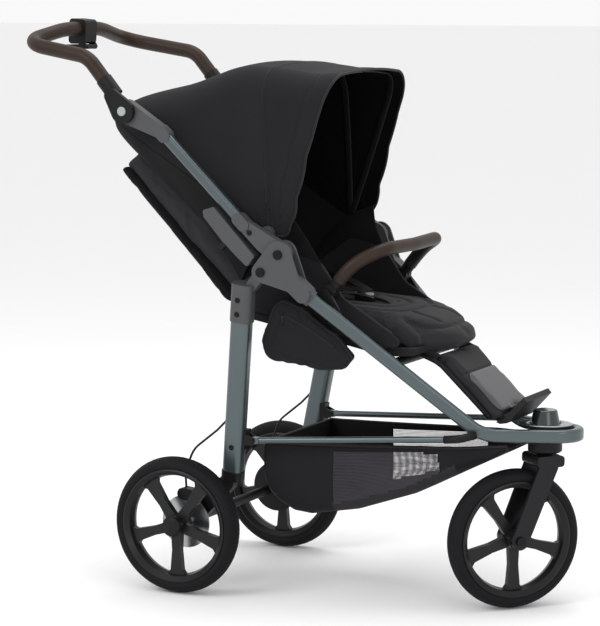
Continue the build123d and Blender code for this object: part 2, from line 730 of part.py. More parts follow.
cushion_gap = 1.0
with BuildPart() as seat_cushion:
    polygon_slab(1, -cushion_half_width, cushion_half_width,
                 [(128, 616 + cushion_gap), (300, 583 + cushion_gap), (452, 554 + cushion_gap),
                  (520, 557 + cushion_gap), (560, 548), (584, 560), (578, 582), (520, 604), (452, 616),
                  (372, 624), (300, 628), (142, 652)])
    fillet(seat_cushion.edges().filter_by(Axis.Y), radius=5)
save(seat_cushion, "seat_cushion")

panel_shape = [(112, 622), (96, 662), (215, 748), (300, 728), (352, 655), (470, 585), (500, 560), (452, 556),
               (300, 585)]
with BuildPart() as side_panels:
    for _, side in SIDES:
        polygon_slab(side, side_panel_y - 6, side_panel_y, panel_shape, corner=10)
save(side_panels, "side_panels")

with BuildPart() as backrest_board:
    polygon_slab(1, -backrest_half_width, backrest_half_width,
                 [(86, 628), (64, 640), (-36, 746), (-196, 912), (-187, 921), (-28, 755), (88, 644)])
    cross_pin(1, recline_pivot, 8, -side_panel_y + 7, side_panel_y - 7)
save(backrest_board, "backrest_board")

with BuildPart() as backrest_pad:
    polygon_slab(1, -backrest_half_width + 4, backrest_half_width - 4,
                 [(92, 652), (-26, 757.5), (-187, 923.5), (-152, 952), (14, 800), (118, 682)])
    fillet(backrest_pad.edges().filter_by(Axis.Y), radius=6)
save(backrest_pad, "backrest_pad")

with BuildPart() as shoulder_straps:
    for _, side in SIDES:
        polygon_slab(side, 45, 85, [(14.5, 801), (118, 683.5), (122, 687), (18.5, 804.5)])
save(shoulder_straps, "shoulder_straps")

buckle_place = (340.0, 639.0)
with BuildPart() as buckle:
    with BuildSketch(side_plane(30)):
        with Locations(Location((*buckle_place, 0), (0, 0, -8))):
            RectangleRounded(44, 12, 4)
    extrude(amount=60)
    with BuildSketch(Plane(origin=at(buckle_place[0], 0, buckle_place[1] + 20))):
        Circle(10 + part_gap)
    extrude(amount=-19, mode=Mode.SUBTRACT)
save(buckle, "buckle")

with BuildPart() as buckle_button:
    with BuildSketch(Plane(origin=at(buckle_place[0], 0, buckle_place[1] + 4))):
        Circle(10)
    extrude(amount=5)
save(buckle_button, "buckle_button")

with BuildPart() as footrest_panel:
    polygon_slab(1, -footrest_half_width, footrest_half_width,
                 [(534, 536), (528, 526), (664, 402), (688, 416), (556, 540)])
    fillet(footrest_panel.edges().filter_by(Axis.Y), radius=4)
    for _, side in SIDES:
        cross_pin(side, footrest_pivot, footrest_pin, footrest_half_width - 1, footrest_half_width + 8)
save(footrest_panel, "footrest_panel")

with BuildPart() as foot_tray:
    polygon_slab(1, -72, 72, [(690, 419), (689, 410), (668, 399.5), (678, 396), (694, 399), (738, 447),
                              (730, 456), (697, 421)])
    add(footrest_panel.part, mode=Mode.SUBTRACT)
save(foot_tray, "foot_tray")

# ---------------------------------------------------------------- bumper bar
socket_in, socket_out = bumper_half_width + bumper_radius + 3, 208.0
with BuildPart() as bumper_sockets:
    for _, side in SIDES:
        hull_slab(side, socket_in, socket_out, [(*bumper_pivot, 14.0), (354, 632, 12.0)])
        hull_slab(side, socket_in, socket_out + 10, [(352, 634, 10.0), (362, 620, 10.0)])
        cross_pin(side, bumper_pivot, bumper_pin + pivot_gap, socket_in - 1, socket_out + 1, Mode.SUBTRACT)
    add(front_frame_tube.part, mode=Mode.SUBTRACT)
save(bumper_sockets, "bumper_sockets")

bumper_corner = (440.0, 142.0, 762.0)
bumper_rise = (385.0, 183.0, 732.0)
bumper_mid = (446.0, 760.0)
bumper_right = [
    at(bumper_pivot[0], -bumper_half_width, bumper_pivot[1]),
    at(bumper_rise[0], -bumper_rise[1], bumper_rise[2]),
    at(bumper_corner[0], -bumper_corner[1], bumper_corner[2]),
]
bumper_points = bumper_right + [at(bumper_mid[0], 0, bumper_mid[1])]
bumper_points += [Vector(point.X, -point.Y, point.Z) for point in reversed(bumper_right)]
with BuildPart() as bumper_bar:
    round_bar(bumper_points, [100, 60, 300, 60, 100], bumper_radius)
    for _, side in SIDES:
        hull_slab(side, bumper_half_width - 13, socket_in - part_gap,
                  [(*bumper_pivot, 15.0), (337, 673, 14.0)])
        cross_pin(side, bumper_pivot, bumper_pin, socket_in - 1, socket_out)
        cross_pin(side, bumper_pivot, bumper_button_radius + part_gap,
                  bumper_half_width - 20, bumper_half_width - 8, Mode.SUBTRACT)
save(bumper_bar, "bumper_bar")

for tag, side in SIDES:
    with BuildPart() as bumper_button:
        cross_pin(side, bumper_pivot, bumper_button_radius, bumper_half_width - 16, bumper_half_width - 11)
    save(bumper_button, f"bumper_button_{tag}")

# ---------------------------------------------------------------- canopy
def canopy_form(inset, top, skirt):
    """The canopy's closed form, drawn in by an inset: a smooth top line over a straight-sided skirt."""
    half_width = canopy_half_width - inset
    with BuildPart(mode=Mode.PRIVATE) as form:
        with BuildSketch(side_plane(half_width)):
            with BuildLine():
                Spline(*[(x, z - inset) for x, z in top])
                Polyline((top[-1][0], top[-1][1] - inset), *skirt, (top[0][0], top[0][1] - inset))
            make_face()
        extrude(amount=2 * half_width)
        upper_edges = form.edges().filter_by(lambda edge: edge.center().Z > 1080 and edge.length > 100)
        fillet(upper_edges.filter_by(Axis.Y, reverse=True), radius=canopy_corner - inset)
    return form.part


split_x = canopy_pivot[0] + cos(radians(canopy_split)) * 350
pivot_x, pivot_z = canopy_pivot
front_top = [(342, 1126), (265, 1134), (split_x + 0.5, 1140)]
front_skirt = [(pivot_x + 8, pivot_z - 14), (238, 776), (252, 812), (264, 870), (288, 955), (312, 1035),
               (331, 1100)]
front_inner_top = [(460, 1127), (280, 1134), (split_x - 60, 1142)]
front_inner_skirt = [(pivot_x - 60, pivot_z - 60), (pivot_x + 140, pivot_z - 60)]
with BuildPart() as canopy_front:
    add(canopy_form(0, front_top, front_skirt))
    add(canopy_form(canopy_wall, front_inner_top, front_inner_skirt), mode=Mode.SUBTRACT)
save(canopy_front, "canopy_front")

rear_top = [(split_x - 0.5, 1140), (109, 1144), (-41, 1103), (-209, 1050)]
rear_skirt = [(-209, 1040), (-90, 1040), (pivot_x - 12, pivot_z - 12), (pivot_x + 6, pivot_z - 12)]
rear_inner_top = [(split_x + 60, 1140), (109, 1144), (-41, 1103), (-260, 1033)]
rear_inner_skirt = [(-160, 960), (pivot_x - 60, pivot_z - 80), (pivot_x + 90, pivot_z - 80)]
with BuildPart() as canopy_rear:
    add(canopy_form(0, rear_top, rear_skirt))
    add(canopy_form(canopy_wall, rear_inner_top, rear_inner_skirt), mode=Mode.SUBTRACT)
save(canopy_rear, "canopy_rear")

with BuildPart() as canopy_hinges:
    for _, side in SIDES:
        hull_slab(side, canopy_half_width + 1, canopy_half_width + 14,
                  [(*canopy_pivot, 16.0), (196, 762, 12.0)])
save(canopy_hinges, "canopy_hinges")

# ---------------------------------------------------------------- basket and pocket
def basket_form(inset, raise_top):
    """The basket's closed form, drawn in by an inset."""
    outline = [(172 + inset, 330 + raise_top), (166 + inset, 228 + inset), (218, 181 + inset),
               (266, 177 + inset), (373, 196 + inset), (501, 239 + inset), (638, 306 + inset),
               (700 - inset, 340 + inset), (704 - inset, 352 + raise_top)]
    with BuildPart(mode=Mode.PRIVATE) as form:
        with BuildSketch(side_plane(200)):
            with BuildLine():
                Polyline(*outline, close=True)
            make_face()
        extrude(amount=400)
        with BuildSketch(Plane.XY):
            half = [(rear_axle_x + 160 + inset, 166 - inset), (rear_axle_x + 613, 128 - inset),
                    (rear_axle_x + 706 - inset, 84 - inset)]
            with BuildLine():
                Polyline(*half, *[(x, -y) for x, y in reversed(half)], close=True)
            make_face()
        extrude(amount=600, mode=Mode.INTERSECT)
    return form.part


with BuildPart() as basket:
    add(basket_form(0, 0) - basket_form(4, 60))
save(basket, "basket")

pocket_shape = [(229, 652), (206, 634), (178, 560), (186, 530), (204, 516), (319, 500), (377, 508),
                (400, 535), (361, 583), (283, 634)]
with BuildPart() as side_pocket:
    polygon_slab(-1, 187, 203, pocket_shape, corner=7)
save(side_pocket, "side_pocket")
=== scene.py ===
"""Looks of a folding three-wheeled baby stroller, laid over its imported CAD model.

The CAD nodes carry every hard part. This script gives them their finishes and makes the soft goods
around them: hood, quilted backrest and seat, harness, basket, side pocket, leather grips and tyres.
Sizes are given in millimetres ahead of the rear axle, as the stroller is dimensioned, and are turned
into scene metres by at().
"""

import json
import logging
import math
from collections.abc import Callable
from dataclasses import dataclass, field
from enum import Enum

import bmesh
import bpy
import numpy as np
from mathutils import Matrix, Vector
from mathutils.bvhtree import BVHTree


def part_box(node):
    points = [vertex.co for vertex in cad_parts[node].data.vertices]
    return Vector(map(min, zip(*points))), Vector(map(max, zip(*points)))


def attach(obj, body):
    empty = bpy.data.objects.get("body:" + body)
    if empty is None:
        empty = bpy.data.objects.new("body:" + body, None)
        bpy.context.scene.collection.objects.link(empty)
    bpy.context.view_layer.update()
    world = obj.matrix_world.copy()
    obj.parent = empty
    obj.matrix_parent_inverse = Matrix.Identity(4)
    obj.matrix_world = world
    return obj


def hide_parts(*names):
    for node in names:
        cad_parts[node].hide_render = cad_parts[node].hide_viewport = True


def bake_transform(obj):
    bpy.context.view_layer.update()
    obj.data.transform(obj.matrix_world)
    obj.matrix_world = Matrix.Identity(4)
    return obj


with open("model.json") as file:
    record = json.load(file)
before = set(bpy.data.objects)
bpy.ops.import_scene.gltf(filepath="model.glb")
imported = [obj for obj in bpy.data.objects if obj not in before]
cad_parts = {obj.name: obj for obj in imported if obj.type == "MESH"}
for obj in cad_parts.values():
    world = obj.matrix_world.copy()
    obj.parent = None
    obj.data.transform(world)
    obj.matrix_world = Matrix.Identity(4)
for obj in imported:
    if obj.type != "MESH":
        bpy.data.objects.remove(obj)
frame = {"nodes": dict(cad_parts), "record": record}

log = logging.getLogger("stroller")

MM = 0.001
REAR_AXLE_X = -207.5
SIDES = (-1, 1)
SIDE_TAGS = {-1: "r", 1: "l"}
SEED = 7
FRONT_WHEEL_TURN = 47.0


def at(x: float, y: float, z: float) -> np.ndarray:
    """A point in scene metres.

    Args:
        x: Millimetres ahead of the rear axle.
        y: Millimetres to the stroller's left.
        z: Millimetres above the floor.

    Returns:
        The point as an array of three metres.
    """
    return np.array((REAR_AXLE_X + x, y, z)) * MM


def path_of(points: list) -> np.ndarray:
    """A list of millimetre points as an array of scene metres."""
    return np.array([at(*point) for point in points])


# ---------------------------------------------------------------- finishes
def linear(code: str) -> tuple:
    """An sRGB hex colour as linear red, green, blue and alpha."""
    channels = [int(code[i:i + 2], 16) / 255 for i in (1, 3, 5)]
    return (*[c / 12.92 if c <= 0.04045 else ((c + 0.055) / 1.055) ** 2.4 for c in channels], 1.0)


def add_node(tree: bpy.types.NodeTree, kind: str, inputs: dict | None = None, **settings) -> bpy.types.Node:
    """Adds one node, with its settings, and fills or links its inputs.

    Args:
        tree: The node tree that gets it.
        kind: The node's type name.
        inputs: Socket name or number against a value or an output socket.
        **settings: The node's own properties.

    Returns:
        The new node.
    """
    node = tree.nodes.new(kind)
    for name, value in settings.items():
        setattr(node, name, value)
    for name, value in (inputs or {}).items():
        if isinstance(value, bpy.types.NodeSocket):
            tree.links.new(value, node.inputs[name])
        else:
            node.inputs[name].default_value = value
    return node


class Grain(Enum):
    """The small-scale surface of a material."""

    MOULDED = "fine spark-eroded grain"
    WOVEN = "plain weave"
    LEATHER = "pebbled hide grain"
    BRUSHED = "fine brushing"
    RIBBED = "webbing ribs"


@dataclass(frozen=True)
class Finish:
    """One real material.

    Attributes:
        name: The material's name.
        colour: Its main sRGB colour.
        shade: The sRGB colour it drifts towards in broad patches.
        grain: Its small-scale surface.
        pitch: The grain's repeat in millimetres.
        relief: The grain's height in millimetres.
        roughness: Shader roughness.
        metallic: Shader metalness.
        sheen: Fibre sheen, for cloth.
        coat: Clear coat, for lacquer.
        specular: How strongly it mirrors light off its surface, low for cloth.
        on_uv: Whether the grain follows the piece's own UV map.
    """

    name: str
    colour: str
    shade: str
    grain: Grain
    pitch: float
    relief: float
    roughness: float
    metallic: float = 0.0
    sheen: float = 0.0
    coat: float = 0.0
    specular: float = 0.5
    on_uv: bool = False

    def build(self) -> bpy.types.Material:
        """Makes the Blender material."""
        material = bpy.data.materials.new(self.name)
        material.use_nodes = True
        tree = material.node_tree
        shader = tree.nodes["Principled BSDF"]
        shader.inputs["Metallic"].default_value = self.metallic
        shader.inputs["Roughness"].default_value = self.roughness
        shader.inputs["Sheen Weight"].default_value = self.sheen
        shader.inputs["Sheen Roughness"].default_value = 0.6
        shader.inputs["Coat Weight"].default_value = self.coat
        shader.inputs["Specular IOR Level"].default_value = self.specular
        shader.inputs["Coat Roughness"].default_value = 0.25
        coordinates = add_node(tree, "ShaderNodeTexCoord")
        where = coordinates.outputs["UV" if self.on_uv else "Object"]
        patches = add_node(tree, "ShaderNodeTexNoise", {"Vector": coordinates.outputs["Object"], "Scale": 9.0,
                                                        "Detail": 3.0})
        tone = add_node(tree, "ShaderNodeMix", {"Factor": patches.outputs["Fac"], 6: linear(self.colour),
                                                7: linear(self.shade)}, data_type="RGBA")
        tree.links.new(tone.outputs[2], shader.inputs["Base Color"])
        height = self.height(tree, where)
        bump = add_node(tree, "ShaderNodeBump", {"Height": height, "Distance": self.relief * MM, "Strength": 1.0})
        tree.links.new(bump.outputs["Normal"], shader.inputs["Normal"])
        return material

    def height(self, tree: bpy.types.NodeTree, where: bpy.types.NodeSocket) -> bpy.types.NodeSocket:
        """The grain's height pattern, as an output socket."""
        per_metre = 1 / (self.pitch * MM)
        # A wave texture repeats every 2 pi / 20 of its scale.
        wave_scale = per_metre * math.pi / 10
        if self.grain is Grain.WOVEN:
            warp = add_node(tree, "ShaderNodeTexWave", {"Vector": where, "Scale": wave_scale},
                            bands_direction="X")
            weft = add_node(tree, "ShaderNodeTexWave", {"Vector": where, "Scale": wave_scale},
                            bands_direction="Y" if self.on_uv else "Z")
            return add_node(tree, "ShaderNodeMath", {0: warp.outputs["Fac"], 1: weft.outputs["Fac"]},
                            operation="MAXIMUM").outputs[0]
        if self.grain is Grain.RIBBED:
            return add_node(tree, "ShaderNodeTexWave", {"Vector": where, "Scale": wave_scale},
                            bands_direction="X").outputs["Fac"]
        if self.grain is Grain.LEATHER:
            return add_node(tree, "ShaderNodeTexVoronoi", {"Vector": where, "Scale": per_metre},
                            feature="SMOOTH_F1").outputs["Distance"]
        if self.grain is Grain.BRUSHED:
            stretched = add_node(tree, "ShaderNodeMapping", {"Vector": where, "Scale": (1.0, 12.0, 1.0)})
            where = stretched.outputs["Vector"]
        return add_node(tree, "ShaderNodeTexNoise", {"Vector": where, "Scale": per_metre, "Detail": 2.0}
                        ).outputs["Fac"]


FINISHES = {
    # Satin grey-green metallic lacquer on aluminium tube.
    "tube_paint": Finish("lacquered_tube", "#555F62", "#4C5659", Grain.MOULDED, 0.4, 0.004, 0.34, 0.72, coat=0.3),
    # Glass-filled nylon of the joints.
    "joint_plastic": Finish("joint_nylon", "#444546", "#3E3F40", Grain.MOULDED, 0.7, 0.05, 0.5, specular=0.4),
    "black_plastic": Finish("black_nylon", "#121213", "#0F0F10", Grain.MOULDED, 0.7, 0.04, 0.45, specular=0.2),
    "light_button": Finish("pale_button", "#9BA5A1", "#939D99", Grain.MOULDED, 0.7, 0.02, 0.4),
    # Dark brown imitation leather on the handle and bumper bar.
    "grip_leather": Finish("brown_leather", "#33251C", "#261B16", Grain.LEATHER, 1.3, 0.12, 0.45, specular=0.2),
    "fabric": Finish("charcoal_polyester", "#1E1E20", "#19191B", Grain.WOVEN, 0.9, 0.06, 0.85, sheen=0.03,
                     specular=0.1),
    "mesh_fabric": Finish("black_polyester", "#111113", "#0D0D0F", Grain.WOVEN, 1.1, 0.08, 0.85, sheen=0.02,
                          specular=0.1),
    "webbing": Finish("nylon_webbing", "#101012", "#0D0D0E", Grain.RIBBED, 1.6, 0.15, 0.6, specular=0.3),
    "tyre_rubber": Finish("tyre_rubber", "#171618", "#131214", Grain.MOULDED, 1.0, 0.05, 0.65, specular=0.12),
    "rim_plastic": Finish("rim_nylon", "#19191A", "#151516", Grain.MOULDED, 0.8, 0.03, 0.36, specular=0.25),
    "bright_steel": Finish("turned_steel", "#A9ABAC", "#9FA1A3", Grain.BRUSHED, 0.5, 0.01, 0.28, 1.0),
    # Blackened steel of the screws, also laid on the far brake disc as painted shade.
    "dark_steel": Finish("blackened_steel_and_painted_shade", "#1D1E1F", "#171819", Grain.BRUSHED, 0.5, 0.01, 0.38, 0.8),
    "bearing_steel": Finish("ground_steel", "#8E9092", "#86888A", Grain.BRUSHED, 0.5, 0.01, 0.25, 1.0),
    "cable_black": Finish("cable_sleeve", "#111112", "#0E0E0F", Grain.MOULDED, 0.6, 0.02, 0.45, specular=0.3),
    # Powder-coated casting of the front fork.
    "fork_metal": Finish("coated_fork", "#1F1F21", "#1A1A1C", Grain.MOULDED, 0.6, 0.02, 0.4, 0.3, specular=0.25),
    # Cloth laid out on its own UV map, so that its weave follows the hoops.
    "hood_cloth": Finish("hood_polyester", "#1E1E20", "#19191B", Grain.WOVEN, 0.9, 0.06, 0.8, sheen=0.03,
                         specular=0.1, on_uv=True),
    "hood_lining": Finish("hood_lining", "#070708", "#050506", Grain.WOVEN, 0.8, 0.04, 0.9, specular=0.1,
                          on_uv=True),
    "seat_cloth": Finish("seat_polyester", "#252527", "#1E1E20", Grain.WOVEN, 1.0, 0.07, 0.75, sheen=0.05,
                         specular=0.15),
    "trim": Finish("piping_binding", "#101011", "#0D0D0E", Grain.RIBBED, 1.2, 0.06, 0.55, specular=0.3),
    "net": Finish("basket_net", "#4A474D", "#3F3C42", Grain.MOULDED, 0.5, 0.02, 0.6),
    "gusset": Finish("basket_gusset", "#2A292C", "#242326", Grain.WOVEN, 1.0, 0.06, 0.75, specular=0.2, on_uv=True),
    "basket_cloth": Finish("basket_polyester", "#151417", "#111012", Grain.WOVEN, 1.0, 0.06, 0.75, specular=0.2,
                           on_uv=True),
    # Wipe-clean coated cloth where shoes rub.
    "coated": Finish("coated_footrest", "#424245", "#39393C", Grain.LEATHER, 1.0, 0.04, 0.32),
    "knob_gloss": Finish("gloss_knob", "#1C2828", "#172121", Grain.MOULDED, 0.8, 0.01, 0.18, coat=0.4),
    "plate_metal": Finish("satin_plate", "#A4A7A9", "#9A9D9F", Grain.BRUSHED, 0.5, 0.01, 0.3, 0.9),
    "thread": Finish("sewing_thread", "#39393B", "#333335", Grain.RIBBED, 0.4, 0.02, 0.7, specular=0.2),
    "zip_metal": Finish("zip_metal", "#8D8D90", "#838386", Grain.MOULDED, 0.5, 0.01, 0.3, 0.9),
    "floor": Finish("pale_floor", "#F7F7F7", "#F5F5F5", Grain.MOULDED, 4.0, 0.02, 0.9, specular=0.1),
}


class Palette:
    """Builds each finish once, when it is first asked for."""

    def __init__(self) -> None:
        self.built: dict[str, bpy.types.Material] = {}

    def __getitem__(self, name: str) -> bpy.types.Material:
        """The material of a finish's name."""
        if name not in self.built:
            self.built[name] = FINISHES[name].build()
        return self.built[name]


# ---------------------------------------------------------------- curves
def lengths(points: np.ndarray) -> np.ndarray:
    """The distance run at each point of a path."""
    return np.concatenate(([0.0], np.cumsum(np.linalg.norm(np.diff(points, axis=0), axis=1))))


def resampled(points: np.ndarray, count: int) -> np.ndarray:
    """A path redrawn with evenly spaced points."""
    run = lengths(points)
    wanted = np.linspace(0, run[-1], count)
    return np.stack([np.interp(wanted, run, points[:, k]) for k in range(points.shape[1])], axis=1)


def smooth_path(points: np.ndarray, count: int) -> np.ndarray:
    """A smooth curve through points.

    Args:
        points: The points it goes through, one a row.
        count: How many points the curve gets.

    Returns:
        The curve's evenly spaced points.
    """
    padded = np.vstack((2 * points[0] - points[1], points, 2 * points[-1] - points[-2]))
    pieces = []
    for i in range(1, len(padded) - 2):
        before, start, end, after = padded[i - 1:i + 3]
        t = np.linspace(0, 1, 16, endpoint=False)[:, None]
        pieces.append(0.5 * (2 * start + (end - before) * t + (2 * before - 5 * start + 4 * end - after) * t ** 2
                             + (3 * start - before - 3 * end + after) * t ** 3))
    return resampled(np.vstack((*pieces, points[-1:])), count)


def rounded_path(points: np.ndarray, radii: list, steps: int = 12) -> np.ndarray:
    """A path of straight runs joined by true arcs.

    Args:
        points: The corners, ends included.
        radii: The bend radius in metres at each inner corner.
        steps: Points on each arc.

    Returns:
        The path's points.
    """
    path = [points[0]]
    for corner, radius, before, after in zip(points[1:-1], radii, points[:-2], points[2:]):
        back, ahead = (before - corner), (after - corner)
        back, ahead = back / np.linalg.norm(back), ahead / np.linalg.norm(ahead)
        half = math.acos(float(np.clip(back @ ahead, -1, 1))) / 2
        bisector = (back + ahead) / np.linalg.norm(back + ahead)
        centre = corner + bisector * radius / math.sin(half)
        first = corner + back * radius / math.tan(half) - centre
        last = corner + ahead * radius / math.tan(half) - centre
        turn = math.pi - 2 * half
        for share in np.linspace(0, 1, steps):
            path.append(centre + (math.sin((1 - share) * turn) * first + math.sin(share * turn) * last)
                        / math.sin(turn))
    path.append(points[-1])
    return np.array(path)


def circle(radius: float, sides: int = 16) -> np.ndarray:
    """A round cross-section."""
    turn = np.linspace(0, 2 * math.pi, sides, endpoint=False)
    return radius * np.stack((np.cos(turn), np.sin(turn)), axis=1)


def flat_section(width: float, thickness: float) -> np.ndarray:
    """A webbing's cross-section: flat, with rounded edges."""
    half, lip = width / 2, thickness / 2
    turn = np.linspace(-math.pi / 2, math.pi / 2, 5)
    right = np.stack((half - lip + lip * np.cos(turn), lip * np.sin(turn)), axis=1)
    return np.vstack((right, -right))


# ---------------------------------------------------------------- meshes
def new_piece(name: str, points: np.ndarray, faces: list, uvs: np.ndarray | None = None) -> bpy.types.Object:
    """A mesh object at the origin, smooth shaded.

    Args:
        name: The piece's name.
        points: Its vertices in metres.
        faces: Its faces as lists of vertex numbers.
        uvs: One UV pair in metres a vertex, where its grain follows the surface.

    Returns:
        The object, linked to the scene.
    """
    mesh = bpy.data.meshes.new(name)
    mesh.from_pydata([tuple(p) for p in points], [], faces)
    mesh.update()
    mesh.shade_smooth()
    if uvs is not None:
        layer = mesh.uv_layers.new(name="UVMap")
        corner = np.empty(len(mesh.loops), dtype=np.int32)
        mesh.loops.foreach_get("vertex_index", corner)
        layer.data.foreach_set("uv", uvs[corner].astype(np.float32).ravel())
    piece = bpy.data.objects.new(name, mesh)
    bpy.context.scene.collection.objects.link(piece)
    return piece


def grid_piece(name: str, points: np.ndarray, wrap: bool = False, cap: bool = False,
               keep: np.ndarray | None = None) -> bpy.types.Object:
    """A surface from rows and columns of points.

    Args:
        name: The piece's name.
        points: Rows by columns by three, in metres.
        wrap: Whether the last column joins the first.
        cap: Whether the first and last rows are closed.
        keep: Rows by columns of which faces to make, where some are left open.

    Returns:
        The piece.
    """
    rows, columns, _ = points.shape
    number = np.arange(rows * columns).reshape(rows, columns)
    across = columns if wrap else columns - 1
    faces = [[int(number[i, j]), int(number[i, (j + 1) % columns]), int(number[i + 1, (j + 1) % columns]),
              int(number[i + 1, j])]
             for i in range(rows - 1) for j in range(across) if keep is None or keep[i, j]]
    if cap:
        faces += [[int(k) for k in number[0][::-1]], [int(k) for k in number[-1]]]
    down = np.concatenate((np.zeros((1, columns)),
                           np.cumsum(np.linalg.norm(np.diff(points, axis=0), axis=2), axis=0)))
    over = np.concatenate((np.zeros((rows, 1)),
                           np.cumsum(np.linalg.norm(np.diff(points, axis=1), axis=2), axis=1)), axis=1)
    uvs = np.stack((over.ravel(), down.ravel()), axis=1)
    return new_piece(name, points.reshape(-1, 3), faces, uvs)


def sweep(name: str, path: np.ndarray, section: np.ndarray, up: tuple | None = None,
          closed: bool = False) -> bpy.types.Object:
    """A section carried along a path.

    Args:
        name: The piece's name.
        path: The path's points in metres.
        section: The cross-section's points, across and up, in metres.
        up: The direction the section's second axis leans to; by default it turns least.
        closed: Whether the path's end joins its start.

    Returns:
        The piece.
    """
    ahead = np.roll(path, -1, axis=0) - np.roll(path, 1, axis=0)
    if not closed:
        ahead[0], ahead[-1] = path[1] - path[0], path[-1] - path[-2]
    ahead /= np.linalg.norm(ahead, axis=1)[:, None]
    lean = np.array(up if up is not None else (0.0, 0.0, 1.0), dtype=float)
    if up is None and abs(ahead[0] @ lean) > 0.9:
        lean = np.array((0.0, 1.0, 0.0))
    rings = []
    for place, direction in zip(path, ahead):
        rise = lean - direction * (lean @ direction)
        rise /= np.linalg.norm(rise)
        side = np.cross(direction, rise)
        rings.append(place + section[:, :1] * side + section[:, 1:] * rise)
        if up is None:
            lean = rise
    if closed:
        rings.append(rings[0])
    piece = grid_piece(name, np.array(rings), wrap=True, cap=not closed)
    if closed:
        weld(piece)
    return outward(piece)


def weld(piece: bpy.types.Object) -> bpy.types.Object:
    """Joins vertices that lie on one another."""
    work = bmesh.new()
    work.from_mesh(piece.data)
    bmesh.ops.remove_doubles(work, verts=work.verts, dist=1e-6)
    work.to_mesh(piece.data)
    work.free()
    return piece


def outward(piece: bpy.types.Object) -> bpy.types.Object:
    """Turns a closed piece's faces outwards."""
    work = bmesh.new()
    work.from_mesh(piece.data)
    bmesh.ops.recalc_face_normals(work, faces=work.faces)
    work.to_mesh(piece.data)
    work.free()
    return piece


def baked(piece: bpy.types.Object) -> bpy.types.Object:
    """Makes a piece's modifiers part of its mesh."""
    bpy.context.view_layer.update()
    done = bpy.data.meshes.new_from_object(piece.evaluated_get(bpy.context.evaluated_depsgraph_get()))
    piece.modifiers.clear()
    piece.data = done
    return piece


def thickened(piece: bpy.types.Object, thickness: float, offset: float = -1.0, lining: int = 0) -> bpy.types.Object:
    """Gives a sheet its thickness in metres, inwards by default, with another material inside if asked."""
    solid = piece.modifiers.new("thickness", "SOLIDIFY")
    solid.thickness, solid.offset, solid.material_offset = thickness, offset, lining
    return baked(piece)


def vertex_array(piece: bpy.types.Object, what: str = "co") -> np.ndarray:
    """A piece's vertex places, or normals, as rows of three."""
    values = np.empty(len(piece.data.vertices) * 3, dtype=np.float32)
    source = piece.data.vertices if what == "co" else piece.data.vertex_normals
    source.foreach_get(what if what == "co" else "vector", values)
    return values.reshape(-1, 3).astype(float)


def move_vertices(piece: bpy.types.Object, places: np.ndarray) -> None:
    """Writes a piece's vertex places back."""
    piece.data.vertices.foreach_set("co", places.astype(np.float32).ravel())
    piece.data.update()


def distance_to(points: np.ndarray, path: np.ndarray) -> np.ndarray:
    """Each point's distance to a path of straight runs."""
    nearest = np.full(len(points), np.inf)
    for start, end in zip(path[:-1], path[1:]):
        run = end - start
        share = np.clip((points - start) @ run / max(run @ run, 1e-12), 0, 1)[:, None]
        nearest = np.minimum(nearest, np.linalg.norm(points - start - share * run, axis=1))
    return nearest


def surface_tree(piece: bpy.types.Object) -> BVHTree:
    """A search tree over a piece's faces."""
    work = bmesh.new()
    work.from_mesh(piece.data)
    tree = BVHTree.FromBMesh(work)
    work.free()
    return tree


def laid_on(piece: bpy.types.Object, path: np.ndarray, lift: float = 0.0) -> np.ndarray:
    """A path dropped onto the nearest points of a piece's surface, lifted by some metres."""
    tree = surface_tree(piece)
    found = []
    for point in path:
        place, normal, _, _ = tree.find_nearest(Vector(point))
        found.append(np.array(place) + np.array(normal) * lift)
    return np.array(found)


def sew(piece: bpy.types.Object, paths: list, width: float, depth: float) -> None:
    """Pulls a surface in along its seams.

    Args:
        piece: The padded piece.
        paths: The seams' paths, near its surface.
        width: How wide each seam's valley is, in metres.
        depth: How deep it is, in metres.
    """
    places, normals = vertex_array(piece), vertex_array(piece, "normals")
    pull = np.zeros(len(places))
    for path in paths:
        pull = np.maximum(pull, np.exp(-(distance_to(places, laid_on(piece, path)) / width) ** 2))
    move_vertices(piece, places - normals * (pull * depth)[:, None])


